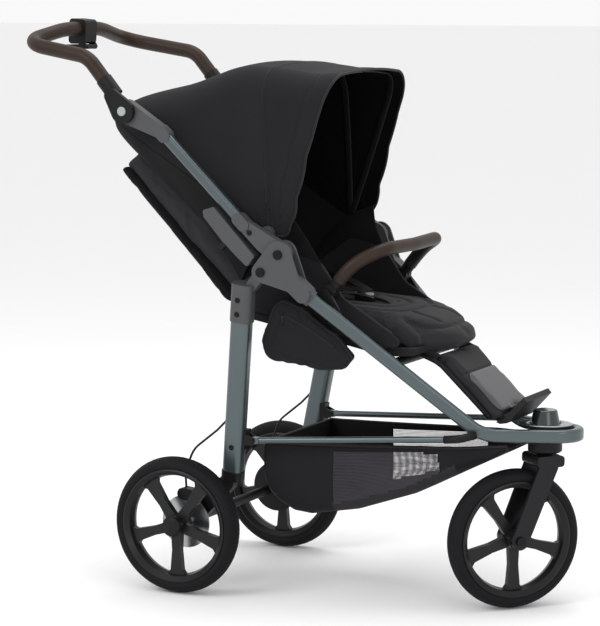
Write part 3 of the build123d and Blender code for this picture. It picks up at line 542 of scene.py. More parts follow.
# ---------------------------------------------------------------- repeated small pieces
class Repeater:
    """Geometry Nodes that place one small piece at many points and join the result."""

    def __init__(self) -> None:
        tree = bpy.data.node_groups.new("repeat_piece", "GeometryNodeTree")
        face = tree.interface
        self.inputs = {}
        for name, kind in (("Geometry", "Geometry"), ("Piece", "Object"), ("Finish", "Material"), ("Spin", "Float"),
                           ("Seed", "Int")):
            self.inputs[name] = face.new_socket(name, in_out="INPUT", socket_type=f"NodeSocket{kind}").identifier
        face.new_socket("Geometry", in_out="OUTPUT", socket_type="NodeSocketGeometry")
        given = add_node(tree, "NodeGroupInput").outputs
        source = add_node(tree, "GeometryNodeObjectInfo", {"Object": given["Piece"]})
        facing, along = (add_node(tree, "GeometryNodeInputNamedAttribute", {"Name": name},
                                  data_type="FLOAT_VECTOR").outputs["Attribute"] for name in ("facing", "along"))
        turned = add_node(tree, "FunctionNodeAxesToRotation", {0: facing, 1: along}, primary_axis="Z",
                          secondary_axis="X")
        placed = add_node(tree, "GeometryNodeInstanceOnPoints",
                          {"Points": given["Geometry"], "Instance": source.outputs["Geometry"],
                           "Rotation": turned.outputs[0]})
        spin = add_node(tree, "FunctionNodeRandomValue", {"Max": given["Spin"], "Seed": given["Seed"]},
                        data_type="FLOAT")
        angle = add_node(tree, "ShaderNodeCombineXYZ", {"Z": spin.outputs["Value"]})
        spun = add_node(tree, "GeometryNodeRotateInstances", {"Instances": placed.outputs[0],
                                                              "Rotation": angle.outputs[0]})
        real = add_node(tree, "GeometryNodeRealizeInstances", {0: spun.outputs[0]})
        dressed = add_node(tree, "GeometryNodeSetMaterial", {"Geometry": real.outputs[0],
                                                             "Material": given["Finish"]})
        add_node(tree, "NodeGroupOutput", {0: dressed.outputs[0]})
        self.tree = tree

    def place(self, name: str, piece: bpy.types.Object, material: bpy.types.Material, points: np.ndarray,
              facing: np.ndarray, along: np.ndarray, spin: float = 0.0) -> bpy.types.Object:
        """Places copies of a small piece.

        Args:
            name: The result's name.
            piece: The small piece, made at the origin facing +Z.
            material: What the copies are made of.
            points: Where they go.
            facing: Which way each copy's +Z points.
            along: Which way each copy's +X leans.
            spin: The most that each is turned about its own axis, in radians.

        Returns:
            One mesh object with every copy.
        """
        carrier = new_piece(name, points, [])
        for key, values in (("facing", facing), ("along", along)):
            attribute = carrier.data.attributes.new(key, "FLOAT_VECTOR", "POINT")
            attribute.data.foreach_set("vector", np.broadcast_to(values, points.shape).astype(np.float32).ravel())
        nodes = carrier.modifiers.new("repeat", "NODES")
        nodes.node_group = self.tree
        for key, value in (("Piece", piece), ("Finish", material), ("Spin", spin), ("Seed", SEED)):
            nodes[self.inputs[key]] = value
        return baked(carrier)


def lathe(name: str, outline: list, sides: int) -> bpy.types.Object:
    """A turned piece about +Z from an outline of radius and height in millimetres."""
    turn = np.linspace(0, 2 * math.pi, sides, endpoint=False)
    rows = [np.stack((r * MM * np.cos(turn), r * MM * np.sin(turn), np.full(sides, z * MM)), axis=1)
            for r, z in outline]
    return outward(grid_piece(name, np.array(rows), wrap=True, cap=True))


# ---------------------------------------------------------------- the workshop
@dataclass
class Workshop:
    """What every sub-assembly needs: the finishes, the repeater, and how a piece joins its body."""

    palette: Palette = field(default_factory=Palette)
    repeater: Repeater = field(default_factory=Repeater)

    def join(self, piece: bpy.types.Object, finish: str, slot: str, body: str | None = None) -> bpy.types.Object:
        """Gives a piece its finish, and its body if it rides one.

        Args:
            piece: The new piece.
            finish: The finish's key.
            slot: The material slot it stands under. Not used.
            body: The CAD body it moves with, or None, which leaves it unattached.

        Returns:
            The piece.
        """
        if not piece.data.materials:
            piece.data.materials.append(self.palette[finish])
        if body:
            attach(piece, body)
        log.info("%s: %s, moves with %s", piece.name, finish, body or "two bodies")
        return piece

    def stitches(self, name: str, path: np.ndarray, facing: np.ndarray, body: str, pitch: float = 4.5,
                 finish: str = "thread") -> bpy.types.Object:
        """A row of sewn stitches along a path.

        Args:
            name: The row's name.
            path: The seam's path.
            facing: The surface's outward direction at each end of the path, or all along it.
            body: The body it moves with.
            pitch: Millimetres from stitch to stitch.
            finish: The thread's finish.

        Returns:
            The row as one mesh.
        """
        count = max(2, int(lengths(path)[-1] / (pitch * MM)))
        points = resampled(path, count)
        along = np.gradient(points, axis=0)
        along /= np.linalg.norm(along, axis=1)[:, None]
        half = pitch * 0.36 * MM
        stitch = sweep("stitch", np.array(((-half, 0, 0), (-half * 0.5, 0, 0.4 * MM), (half * 0.5, 0, 0.4 * MM),
                                           (half, 0, 0))), circle(0.45 * MM, 6), up=(0, 1, 0))
        row = self.repeater.place(name, stitch, self.palette[finish], points, facing, along)
        bpy.data.objects.remove(stitch)
        return self.join(row, finish, "fabric", body)


# ---------------------------------------------------------------- hard parts
@dataclass
class HardParts:
    """The CAD nodes' finishes, and the screws, caps, plate and rail fittings that dress them.

    Attributes:
        special: Nodes whose finish differs from their material slot's; the far brake disc's is painted shade.
        screw_places: Rows of node, body, x and z of each screw, in millimetres.
        hub_face: How far out each rear hub's end stands, in millimetres.
    """

    shop: Workshop
    special: dict = field(default_factory=lambda: {
        "lock_knob": "knob_gloss", "cross_tube": "black_plastic", "head_housing": "black_plastic",
        # brake_disc_l, the far brake disc, gets the blackened steel as painted shade: on the stroller it matches the
        # silver near disc, and it is darkened only to stand for the shade it sits in.
        "bumper_bar": "black_plastic", "brake_disc_l": "dark_steel", "foot_tray": "trim"})
    screw_places: tuple = (("leg_caps", "rear_frame", 153, 650), ("leg_caps", "rear_frame", 149, 619),
                           ("rear_legs", "rear_frame", 111, 322), ("fold_lugs", "push_frame", 176, 794))
    hub_face: float = 281.0

    def build(self) -> None:
        """Dresses every CAD node and adds the pieces that sit on them."""
        for part in frame["record"]["subparts"]:
            node = frame["nodes"].get(part["node"])
            if node is None:
                continue
            node.data.materials.clear()
            node.data.materials.append(self.shop.palette[self.special.get(part["node"], part["material_slot"])])
        self.hub_caps()
        self.screws()
        self.steering_plate()
        self.rail_feet()

    @staticmethod
    def screw() -> bpy.types.Object:
        """A button-head screw with a hexagon socket, facing +Z."""
        turn = np.linspace(0, 2 * math.pi, 24, endpoint=False)
        flat = math.cos(math.pi / 6) / np.cos(np.mod(turn, math.pi / 3) - math.pi / 6)
        rows = [(6.2, -1.0, False), (6.2, 0.8, False), (5.4, 1.7, False), (3.6, 2.2, False), (2.9, 2.2, True),
                (2.8, 0.4, True), (0.2, 0.2, True)]
        rings = [np.stack((r * np.cos(turn) * (flat if hexed else 1), r * np.sin(turn) * (flat if hexed else 1),
                           np.full(24, z)), axis=1) * MM for r, z, hexed in rows]
        return outward(grid_piece("screw", np.array(rings), wrap=True, cap=True))

    def screws(self) -> None:
        """Screws sunk on the outer faces of the leg caps, legs and lugs, one mesh a body."""
        screw = self.screw()
        for body in ("rear_frame", "push_frame"):
            places, facings = [], []
            for node, rides, x, z in self.screw_places:
                if rides != body:
                    continue
                tree = surface_tree(frame["nodes"][node])
                for side in SIDES:
                    place, normal, _, _ = tree.ray_cast(Vector(at(x, side * 400, z)), Vector((0, -side, 0)))
                    if place is not None:
                        places.append(np.array(place))
                        facings.append(np.array(normal))
            name = f"screws_{body}"
            done = self.shop.repeater.place(name, screw, self.shop.palette["dark_steel"], np.array(places),
                                            np.array(facings), np.array((1.0, 0, 0)), spin=math.pi)
            self.shop.join(done, "dark_steel", "dark_steel", body)
        bpy.data.objects.remove(screw)

    def steering_plate(self) -> None:
        """The bright oval plate round the steering lock's knob."""
        turn = np.linspace(0, 2 * math.pi, 72, endpoint=False)
        rows = [(34, 0.2), (34, 1.6), (58, 1.6), (59.4, 0.6), (59.4, 0.2)]
        centre = at(752, 0, 392)
        rings = [centre + np.stack((r * np.cos(turn), (r - 12 * (r - 34) / 25.4) * np.sin(turn),
                                    np.full(72, z)), axis=1) * MM for r, z in rows]
        plate = grid_piece("steering_plate", np.array(rings + rings[:1]), wrap=True)
        self.shop.join(outward(weld(plate)), "plate_metal", "bright_steel", "frame")

    def rail_feet(self) -> None:
        """The black fittings on the front ends of the basket rails."""
        for side in SIDES:
            corners = [(584, 149.5 * side, 368), (618, 146 * side, 371), (644, 124 * side, 378)]
            path = rounded_path(path_of(corners), [0.02])
            foot = sweep(f"rail_foot_{SIDE_TAGS[side]}", path, flat_section(20 * MM, 17 * MM))
            self.shop.join(foot, "black_plastic", "black_plastic", "basket_rails")

    def hub_caps(self) -> None:
        """A plain domed cap on the outer end of each wheel's hub."""
        for body, node, out in (("rear_wheel_r", "rear_rim_r", -1), ("rear_wheel_l", "rear_rim_l", 1)):
            low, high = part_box(node)
            centre = (np.array(low) + np.array(high)) / 2
            outline = [(22, -3), (22.5, 0), (21.5, 3), (17, 5.5), (9, 6.8), (2, 7.2)]
            cap = lathe(f"hub_cap_{SIDE_TAGS[out]}", outline, 40)
            places = vertex_array(cap)
            turned = np.stack((places[:, 0], places[:, 2] * out, -places[:, 1] * out), axis=1)
            move_vertices(cap, turned + (centre[0], out * self.hub_face * MM, centre[2]))
            self.shop.join(outward(cap), "black_plastic", "rim_plastic", body)


# ---------------------------------------------------------------- tyres
@dataclass
class Tyre:
    """An air tyre with ribbed side walls and a cut tread.

    Attributes:
        node: The CAD tyre it stands for.
        body: The wheel it turns with.
        centre: The wheel's centre in metres.
        axle: The axle's direction.
    """

    shop: Workshop
    node: str
    body: str
    centre: np.ndarray
    axle: np.ndarray

    def build(self) -> bpy.types.Object:
        """Makes the tyre as one turned surface with its grooves pressed in."""
        outline = np.array(((121, -18), (133, -24), (143, -19), (150, 0), (143, 19), (133, 24), (121, 18)), float)
        profile = smooth_path(outline, 61)
        turn = np.linspace(0, 2 * math.pi, 385)[:-1]
        radius, width = profile[:, 0][:, None], profile[:, 1][:, None]
        angle = turn[None, :]
        tread = np.clip((radius - 139) / 6, 0, 1)
        ring = 0.9 * np.exp(-(((np.abs(width) - 7) / 1.2) ** 2)) + 0.6 * np.exp(-((width / 0.9) ** 2))
        blocks = np.clip(np.cos(96 * angle + 0.22 * np.abs(width)) * 4 - 2.6, 0, 1) * (np.abs(width) > 8)
        wall = 0.5 * np.cos((radius - 121) * 2 * math.pi / 6) * (1 - tread) * np.clip((radius - 123) / 3, 0, 1)
        sunk = tread * (ring + 1.3 * blocks) + np.clip(wall, 0, 1)
        radius = radius - sunk
        across = np.cross(self.axle, (0, 0, 1.0))
        points = (self.centre + (radius * np.cos(angle))[..., None] * MM * across
                  + (radius * np.sin(angle))[..., None] * MM * np.array((0, 0, 1.0))
                  + (width * np.ones_like(angle))[..., None] * MM * self.axle)
        points = np.concatenate((points, points[:1]))
        tyre = outward(weld(grid_piece(self.node.replace("tyre", "tread"), points, wrap=True)))
        self.shop.join(tyre, "tyre_rubber", "tyre_rubber", self.body)
        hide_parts(self.node)
        return tyre


# ---------------------------------------------------------------- hood
@dataclass
class Hood:
    """The hood: one sheet stretched over hoops that turn about the two hinges.

    Attributes:
        pivot: The hinge, ahead of the rear axle and above the floor, in millimetres.
        half_width: Half the hood's width.
        front: The front hoop's angle at its ends.
        middle: The angle of the fixed hoop, where the double seam runs.
        rear: The rear edge's angle.
        hub: How far from the hinge the cloth starts, in millimetres.
        band: How far the band's seam lies behind the front edge, in millimetres.
        top_angles: Angles at which the top line is given.
        top_radii: The top line's distance from the hinge at each of them.
        edge_reach: Distances from the hinge at which the front edge is given.
        edge_turn: The front edge's angle at each of them.
    """

    shop: Workshop
    pivot: tuple = (200.0, 790.0)
    half_width: float = 203.0
    front: float = 67.1
    middle: float = 92.6
    rear: float = 149.0
    hub: float = 13.0
    band: float = 40.0
    top_angles: tuple = (62.0, 67.1, 79.3, 92.6, 104.4, 127.6, 147.6, 152.0)
    top_radii: tuple = (375.0, 365.0, 350.0, 350.4, 365.5, 395.0, 484.6, 500.0)
    edge_reach: tuple = (13.0, 41.0, 56.0, 101.0, 186.0, 269.0, 362.0)
    edge_turn: tuple = (-14.0, -8.0, 22.0, 50.0, 61.8, 65.2, 67.1)

    def reach(self, angle: np.ndarray) -> np.ndarray:
        """How far the hood's top line is from the hinge at an angle in degrees."""
        line = smooth_path(np.stack((self.top_angles, self.top_radii), axis=1), 200)
        return np.interp(angle, line[:, 0], line[:, 1])

    def hoop(self, angle: float, samples: tuple = (40, 18, 34)) -> tuple:
        """One hoop from hinge to hinge.

        Args:
            angle: Its angle about the hinges, in degrees.
            samples: How many points go on each side, corner and the top.

        Returns:
            The distance from the hinge line, and the place across, of each point, in millimetres.
        """
        reach = float(self.reach(np.array(angle)))
        corner = 72 + 45 * max(0.0, (angle - 110) / 40)
        side = np.linspace(self.hub, reach - corner, samples[0])
        turn = np.linspace(0, math.pi / 2, samples[1] + 1)[1:]
        top = np.linspace(-self.half_width + corner, self.half_width - corner, samples[2] + 1)[1:]
        bulge = 3.5 * np.sin(np.pi * (side - self.hub) / (reach - corner - self.hub))
        out = np.concatenate((side, reach - corner + corner * np.sin(turn), np.full(len(top) - 1, reach)))
        across = np.concatenate((-self.half_width - bulge, -self.half_width + corner - corner * np.cos(turn),
                                 top[:-1]))
        crown = 7 * (1 - (across[len(side) + len(turn):] / (self.half_width - corner)) ** 2)
        out[len(side) + len(turn):] += crown
        mirror = slice(len(side) + len(turn) - 1, None, -1)
        return (np.concatenate((out, out[mirror])), np.concatenate((across, -across[mirror])))

    def place(self, angle: np.ndarray, out: np.ndarray, across: np.ndarray) -> np.ndarray:
        """Scene points from angles in degrees, distances from the hinge line, and places across."""
        turn = np.radians(angle)
        return np.stack(((REAR_AXLE_X + self.pivot[0] + out * np.cos(turn)) * MM, across * MM * np.ones_like(turn),
                         (self.pivot[1] + out * np.sin(turn)) * MM), axis=-1)

    def edge_angle(self, out: np.ndarray) -> np.ndarray:
        """The front edge's angle, which swings forward round the hinge."""
        return np.interp(out, self.edge_reach, self.edge_turn)

    def surface(self, angle: float) -> np.ndarray:
        """The sheet's points along one hoop, with its seams, sag and folds."""
        out, across = self.hoop(angle)
        edge = self.edge_angle(out)
        share = (angle - self.front) / (self.rear - self.front)
        real = edge + (self.rear - edge) * share
        from_edge = np.radians(real - edge) * out
        from_hoop = np.radians(real - self.middle) * out
        on_side = np.clip((out - 60) / 120, 0, 1)
        seam = 1.8 * np.exp(-((from_edge - self.band) / 3.0) ** 2)
        seam = seam + 1.5 * sum(np.exp(-((from_hoop - gap) / 2.4) ** 2) for gap in (-5, 5))
        ridge = 2.0 * np.exp(-(from_hoop / 9) ** 2)
        raised = 1.2 * (1 / (1 + np.exp((from_edge - self.band) / 1.5)))
        spans = np.where(real < self.middle, (real - edge) / (self.middle - edge),
                         (real - self.middle) / (self.rear - self.middle))
        sag = np.where(real < self.middle, 3.0, 7.0) * np.sin(np.pi * np.clip(spans, 0, 1)) ** 2
        folds = 0.5 * np.sin(np.radians(real) * 22 + across * 0.011) * np.exp(-((out - 90) / 60) ** 2)
        waves = np.sin(out * 0.035 + np.radians(real) * 9 + across * 0.008)
        folds = folds + 1.2 * waves * on_side * spans * (1 - spans) * 2
        lift = (ridge + raised - seam - sag * on_side + folds)
        points = self.place(real, out, across)
        normal = np.gradient(points, axis=0)
        normal = np.cross(normal, self.swing(real))
        normal /= np.linalg.norm(normal, axis=1)[:, None] + 1e-12
        return points + normal * (lift * MM)[:, None]

    def swing(self, angle: np.ndarray) -> np.ndarray:
        """The direction a point moves as its angle grows."""
        turn = np.radians(angle)
        return np.stack((-np.sin(turn), np.zeros_like(turn), np.cos(turn)), axis=-1)

    def bend(self, piece: bpy.types.Object) -> None:
        """Bakes a piece's placement into its mesh."""
        at(-40, 0, 1000)
        at(320, 0, 1000)
        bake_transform(piece)

    def build(self) -> None:
        """Makes the hood's cloth, edge binding, hoops, vent zip and rear wall."""
        angles = np.linspace(self.front, self.rear, 170)
        points = np.array([self.surface(a) for a in angles])
        cloth = grid_piece("hood_cloth", points)
        cloth.data.materials.append(self.shop.palette["hood_cloth"])
        cloth.data.materials.append(self.shop.palette["hood_lining"])
        outward(thickened(cloth, 2.4 * MM, lining=1))
        self.shop.join(cloth, "hood_cloth", "fabric")
        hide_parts("canopy_front", "canopy_rear")
        area = float(np.linalg.norm(np.cross(points[1:, :-1] - points[:-1, :-1], points[:-1, 1:] - points[:-1, :-1]),
                                    axis=2).sum())
        run = float(np.mean([lengths(row)[-1] for row in points]))
        self.bend(cloth)
        binding = sweep("hood_binding", resampled(points[0], 220), circle(2.8 * MM, 10))
        self.shop.join(binding, "trim", "fabric")
        self.bend(binding)
        for name, start, gap, radius in (("hood_band_seam", None, self.band, 1.5),
                                         ("hood_seam_ahead", self.middle, -5.0, 1.1),
                                         ("hood_seam_behind", self.middle, 5.0, 1.1)):
            cord = sweep(name, self.seam_path(points, angles, start, gap), circle(radius * MM, 8))
            self.shop.join(cord, "trim", "fabric")
            self.bend(cord)
        self.hoops()
        self.rear_wall(points[-1])
        self.vent()

    def seam_path(self, points: np.ndarray, angles: np.ndarray, start: float | None, gap: float) -> np.ndarray:
        """Where a seam runs over the sheet.

        Args:
            points: The sheet's points, hoop by hoop.
            angles: Each hoop's angle at its top.
            start: The angle it is measured from, or None for the front edge.
            gap: How far behind that it runs, in millimetres.

        Returns:
            The seam's path, evenly spaced.
        """
        out, _ = self.hoop(self.middle)
        share = (angles - self.front) / (self.rear - self.front)
        path = []
        for number, reach in enumerate(out):
            if reach < 42:
                continue
            edge = float(self.edge_angle(reach))
            real = edge + (self.rear - edge) * share
            wanted = (edge if start is None else start) + math.degrees(gap / reach)
            path.append([np.interp(wanted, real, points[:, number, axis]) for axis in range(3)])
        return resampled(np.array(path), 200)

    def hoops(self) -> None:
        """The black hoops inside: the front one folds, the middle one is fixed."""
        for name, angle, inset, body in (("front_hoop", self.front + 4.0, 7, "canopy"),
                                         ("middle_hoop", self.middle, 6, "frame")):
            out, across = self.hoop(angle)
            shrink = (self.half_width - inset) / self.half_width
            path = self.place(np.full(len(out), angle), np.maximum(out - inset, self.hub), across * shrink)
            hoop = sweep(name, resampled(path, 160), flat_section(14 * MM, 3 * MM), up=(0.0, 1.0, 0.001))
            self.shop.join(hoop, "black_plastic", "black_plastic", body)

    def rear_wall(self, top: np.ndarray) -> None:
        """The cloth that closes the hood down to the backrest, and the two wings beside the seat.

        Args:
            top: The points of the hood's rear edge.
        """
        foot = path_of([(101, -159, 664), (97, -158, 694), (14, -157, 806), (-70, -157, 880),
                        (-150, -157, 950), (-166, -120, 962), (-168, 0, 963)])
        foot = np.vstack((foot, (foot * (1, -1, 1))[-2::-1]))
        top, foot = resampled(top, 141), smooth_path(foot, 141)
        drop = np.linspace(0, 1, 40)[:, None, None]
        out = np.stack((-0.8 * np.ones(141), np.zeros(141), np.zeros(141)), axis=1)
        rear = np.exp(-((np.linspace(-1, 1, 141) / 0.42) ** 4))[:, None]
        points = top * (1 - drop) + foot * drop
        points = points + np.sin(np.pi * drop ** 0.8) * out * rear * 26 * MM
        points = points + np.sin(np.linspace(0, 60, 141))[None, :, None] * np.sin(np.pi * drop) * (0, 0.0012, 0.0)
        wall = grid_piece("hood_rear_wall", points)
        outward(thickened(wall, 2.0 * MM, offset=0.0))
        self.shop.join(wall, "mesh_fabric", "fabric")
        at(-10, 0, 924)
        at(-38, 0, 880)
        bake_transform(wall)
        for side in SIDES:
            upper = resampled(path_of([(256, 200 * side, 822), (232, 200 * side, 812), (189, 201 * side, 797)]), 30)
            lower = resampled(path_of([(306, 165 * side, 722), (215, 164 * side, 747), (102, 160 * side, 668)]), 30)
            share = np.linspace(0, 1, 16)[:, None, None]
            gusset = upper * (1 - share) + lower * share
            gusset = gusset - np.sin(np.pi * share) * np.array((0.004, 0.010 * side, 0.0))
            piece = outward(thickened(grid_piece(f"side_wing_{SIDE_TAGS[side]}", gusset), 2.0 * MM, offset=0.0))
            self.shop.join(piece, "mesh_fabric", "fabric", "frame")

    def vent(self) -> None:
        """A short zip near the seam's lower end."""
        for side in SIDES:
            out = np.linspace(62, 128, 24)
            path = self.place(np.full(24, self.middle + 1.6), out, np.full(24, side * (self.half_width + 4.5)))
            teeth = sweep(f"vent_zip_{SIDE_TAGS[side]}", path, flat_section(5 * MM, 2 * MM), up=(0, side, 0))
            self.shop.join(teeth, "black_plastic", "fabric", "frame")


# ---------------------------------------------------------------- padded pieces
@dataclass
class Pad:
    """A padded piece: a closed form inflated as cloth, then sewn.

    Attributes:
        node: The CAD solid it starts from and stands for.
        name: Its own name.
        body: The body it moves with.
        finish: Its cloth.
        slot: The material slot it stands under.
        voxel: The remesh size in millimetres.
        pressure: The inflating pressure.
        travel: The most that any point may move, in millimetres.
        fill: How full it is. Not used.
        seams: Paths of its seams, near its surface.
        seam_width: The width of a seam's valley in millimetres.
        seam_depth: Its depth in millimetres.
        shape: What eases the form's outline before it is inflated, or None.
    """

    shop: Workshop
    node: str
    name: str
    body: str
    finish: str = "seat_cloth"
    slot: str = "fabric"
    voxel: float = 5.0
    pressure: float = 4.0
    travel: float = 9.0
    fill: float = 0.6
    seams: list = field(default_factory=list)
    seam_width: float = 6.0
    seam_depth: float = 4.5
    shape: Callable | None = None

    def build(self) -> bpy.types.Object:
        """Makes the pad."""
        source = frame["nodes"][self.node]
        pad = bpy.data.objects.new(self.name, source.data.copy())
        bpy.context.scene.collection.objects.link(pad)
        pad.data.materials.clear()
        remesh = pad.modifiers.new("remesh", "REMESH")
        remesh.mode, remesh.voxel_size, remesh.use_smooth_shade = "VOXEL", self.voxel * MM, True
        relax = pad.modifiers.new("relax", "SMOOTH")
        relax.factor, relax.iterations = 0.5, 5
        baked(pad)
        if self.shape is not None:
            move_vertices(pad, self.shape(vertex_array(pad)))
        self.inflate(pad)
        finer = pad.modifiers.new("finer", "SUBSURF")
        finer.levels = finer.render_levels = 1
        baked(pad)
        if self.seams:
            sew(pad, self.seams, self.seam_width * MM, self.seam_depth * MM)
        outward(pad)
        pad.data.shade_smooth()
        self.shop.join(pad, self.finish, self.slot, self.body)
        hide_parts(self.node)
        return pad

    def inflate(self, pad: bpy.types.Object) -> None:
        """Blows the form up as cloth for twenty frames and keeps the result, capped."""
        scene = bpy.context.scene
        start = vertex_array(pad)
        cloth = pad.modifiers.new("cloth", "CLOTH")
        settings = cloth.settings
        settings.use_pressure, settings.uniform_pressure_force = True, self.pressure
        settings.quality, settings.mass = 6, 0.3
        settings.effector_weights.gravity = 0
        cloth.point_cache.frame_start, cloth.point_cache.frame_end = 1, 20
        for number in range(1, 21):
            scene.frame_set(number)
        blown = pad.evaluated_get(bpy.context.evaluated_depsgraph_get()).to_mesh()
        places = np.empty(len(blown.vertices) * 3, dtype=np.float32)
        blown.vertices.foreach_get("co", places)
        move = places.reshape(-1, 3) - start
        reach = np.linalg.norm(move, axis=1)[:, None]
        move = move * np.minimum(1, self.travel * MM / np.maximum(reach, 1e-9))
        pad.evaluated_get(bpy.context.evaluated_depsgraph_get()).to_mesh_clear()
        pad.modifiers.clear()
        scene.frame_set(1)
        move_vertices(pad, start + move)
        log.info("%s inflated, most %.1f mm", self.name, float(reach.max()) / MM)


@dataclass
class Seat:
    """The quilted seat, its backrest, harness and side walls."""

    shop: Workshop

    @staticmethod
    def mirrored(points: list) -> list:
        """A seam given for the left half, carried on over the middle to the right."""
        return points + [(x, -y, z) for x, y, z in reversed(points)]

    def seat_seams(self) -> list:
        """The seat cushion's sewn channels."""
        outer = self.mirrored([(180, 118, 648), (300, 122, 630), (400, 116, 622), (444, 86, 618), (458, 40, 616)])
        inner = self.mirrored([(250, 72, 640), (330, 78, 628), (396, 66, 624), (420, 30, 620)])
        lobe = self.mirrored([(474, 108, 606), (512, 92, 592), (540, 50, 584)])
        middle = [(262, 26, 636), (330, 34, 628), (392, 26, 622)]
        lines = [smooth_path(path_of(p), 60) for p in (outer, inner, lobe)]
        for side in SIDES:
            lines.append(smooth_path(path_of([(x, y * side, z) for x, y, z in middle]), 24))
            front = [(462, 50 * side, 616), (490, 58 * side, 608), (524, 52 * side, 594)]
            lines.append(smooth_path(path_of(front), 24))
        return lines

    @staticmethod
    def front_lobe(places: np.ndarray) -> np.ndarray:
        """Rounds the cushion's front into a lobe.

        Args:
            places: The cushion's vertices, in metres.

        Returns:
            The same vertices, moved.
        """
        x, y = places[:, 0] / MM - REAR_AXLE_X, places[:, 1] / MM
        ahead = np.clip((x - 430) / 140, 0, 1)
        outer = np.clip(abs(y) / 130, 0, 1)
        places[:, 0] -= 62 * MM * ahead * outer ** 3
        places[:, 1] *= 1 - 0.12 * ahead ** 2
        places[:, 2] -= 6 * MM * np.clip((x - 480) / 90, 0, 1) ** 1.6 * (1 - 0.4 * outer ** 2)
        return places

    def back_seams(self) -> list:
        """The backrest's long curved quilting."""
        lines = []
        for side in SIDES:
            for across in (((112, 118), (120, 60), (116, -30), (96, -110), (88, -140)),
                           ((64, 108), (30, 40), (34, -40), (60, -130))):
                lines.append(smooth_path(path_of([(x, y * side, 800 - (x - 14) * (1.134 if x > 14 else 0.916))
                                                  for y, x in across]), 50))
        for x in (60, -60):
            z = 800 - (x - 14) * (1.134 if x > 14 else 0.916)
            lines.append(path_of([(x, y, z) for y in np.linspace(-118, 118, 30)]))
        return lines

    def build(self) -> None:
        """Makes every padded piece of the seat and its harness."""
        Pad(self.shop, "seat_cushion", "seat_pad", "frame", travel=9, fill=0.7, seams=self.seat_seams(),
            shape=self.front_lobe).build()
        Pad(self.shop, "backrest_pad", "back_pad", "backrest", travel=8, fill=0.6, seams=self.back_seams()).build()
        board_seams = [smooth_path(path_of([(60, 120 * s, 640), (-60, 128 * s, 764), (-180, 104 * s, 900)]), 40)
                       for s in SIDES]
        Pad(self.shop, "backrest_board", "back_shell", "backrest", finish="mesh_fabric", voxel=4.0, travel=5,
            fill=0.3, seams=board_seams).build()
        Pad(self.shop, "shoulder_straps", "shoulder_pads", "backrest", finish="trim", slot="webbing", voxel=4.0,
            travel=4, fill=0.5).build()
        self.harness()
        self.wall_piping()
        self.footrest()

    def harness(self) -> None:
        """Webbing from the shoulder pads and hips to the buckle, and the crotch strap under it."""
        webbing = flat_section(25 * MM, 1.8 * MM)
        for side in SIDES:
            tag = SIDE_TAGS[side]
            shoulder = smooth_path(path_of([(78, 62 * side, 752), (118, 56 * side, 705), (190, 46 * side, 664),
                                            (270, 32 * side, 650), (318, 20 * side, 650)]), 50)
            strap = sweep(f"shoulder_web_{tag}", shoulder, webbing, up=(0.3, 0, 1))
            self.shop.join(strap, "webbing", "webbing")
            at(90, 0, 740)
            at(190, 0, 664)
            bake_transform(strap)
            lap = smooth_path(path_of([(170, 146 * side, 672), (215, 128 * side, 666), (270, 86 * side, 656),
                                       (322, 30 * side, 650)]), 40)
            self.shop.join(sweep(f"lap_web_{tag}", lap, webbing, up=(0, 0, 1)), "webbing", "webbing", "frame")
            adjuster = sweep(f"strap_slider_{tag}", path_of([(206, 43.5 * side, 663), (226, 40.5 * side, 659)]),
                             flat_section(34 * MM, 5 * MM), up=(0.3, 0, 1))
            self.shop.join(adjuster, "black_plastic", "black_plastic", "frame")
        crotch = smooth_path(path_of([(404, 0, 622), (392, 0, 634), (372, 0, 640), (358, 0, 642)]), 24)
        self.shop.join(sweep("crotch_web", crotch, flat_section(38 * MM, 3 * MM), up=(0, 0, 1)), "webbing", "webbing",
                       "frame")

    def footrest(self) -> None:
        """The calf rest: a padded cloth panel, its coated lower cover and the rods beside it."""
        top, foot = np.array((556.0, 540.0)), np.array((688.0, 416.0))
        run, rise = (foot - top) / np.linalg.norm(foot - top), np.array((0.684, 0.729))
        seam = top + run * 62
        across = smooth_path(path_of([(seam[0], y, seam[1]) for y in (-84, -30, 30, 84)]), 40)
        pad = Pad(self.shop, "footrest_panel", "calf_pad", "footrest", voxel=4.0, travel=4, fill=0.4,
                  seams=[across], seam_depth=2.0, seam_width=3.0).build()
        rows = []
        for share in np.linspace(0, 1, 28):
            place = top + run * (66 + 108 * share) + rise * 2
            half = 78 - 10 * max(0.0, abs(share - 0.5) * 2 - 0.8) / 0.2
            rows.append([at(place[0], y, place[1]) for y in np.linspace(-half, half, 40)])
        cover = grid_piece("calf_cover", np.array([laid_on(pad, np.array(row), 0.9 * MM) for row in rows]))
        self.shop.join(outward(thickened(cover, 1.2 * MM)), "coated", "fabric", "footrest")
        for side in SIDES:
            rod = sweep(f"calf_rod_{SIDE_TAGS[side]}",
                        rounded_path(path_of([(440, 91 * side, 560), (546, 91 * side, 520), (660, 87 * side, 411)]),
                                     [0.08]), circle(5.5 * MM, 14))
            self.shop.join(rod, "black_plastic", "black_plastic", "footrest")

    def wall_piping(self) -> None:
        """Piping along the top edge of each side wall."""
        for side in SIDES:
            edge = rounded_path(path_of([(96, 163 * side, 662), (215, 163 * side, 748), (300, 163 * side, 728),
                                         (352, 163 * side, 655), (470, 163 * side, 585)]), [0.03, 0.03, 0.03])
            self.shop.join(sweep(f"wall_piping_{SIDE_TAGS[side]}", resampled(edge, 120), circle(3.2 * MM, 10)), "trim",
                           "fabric", "frame")


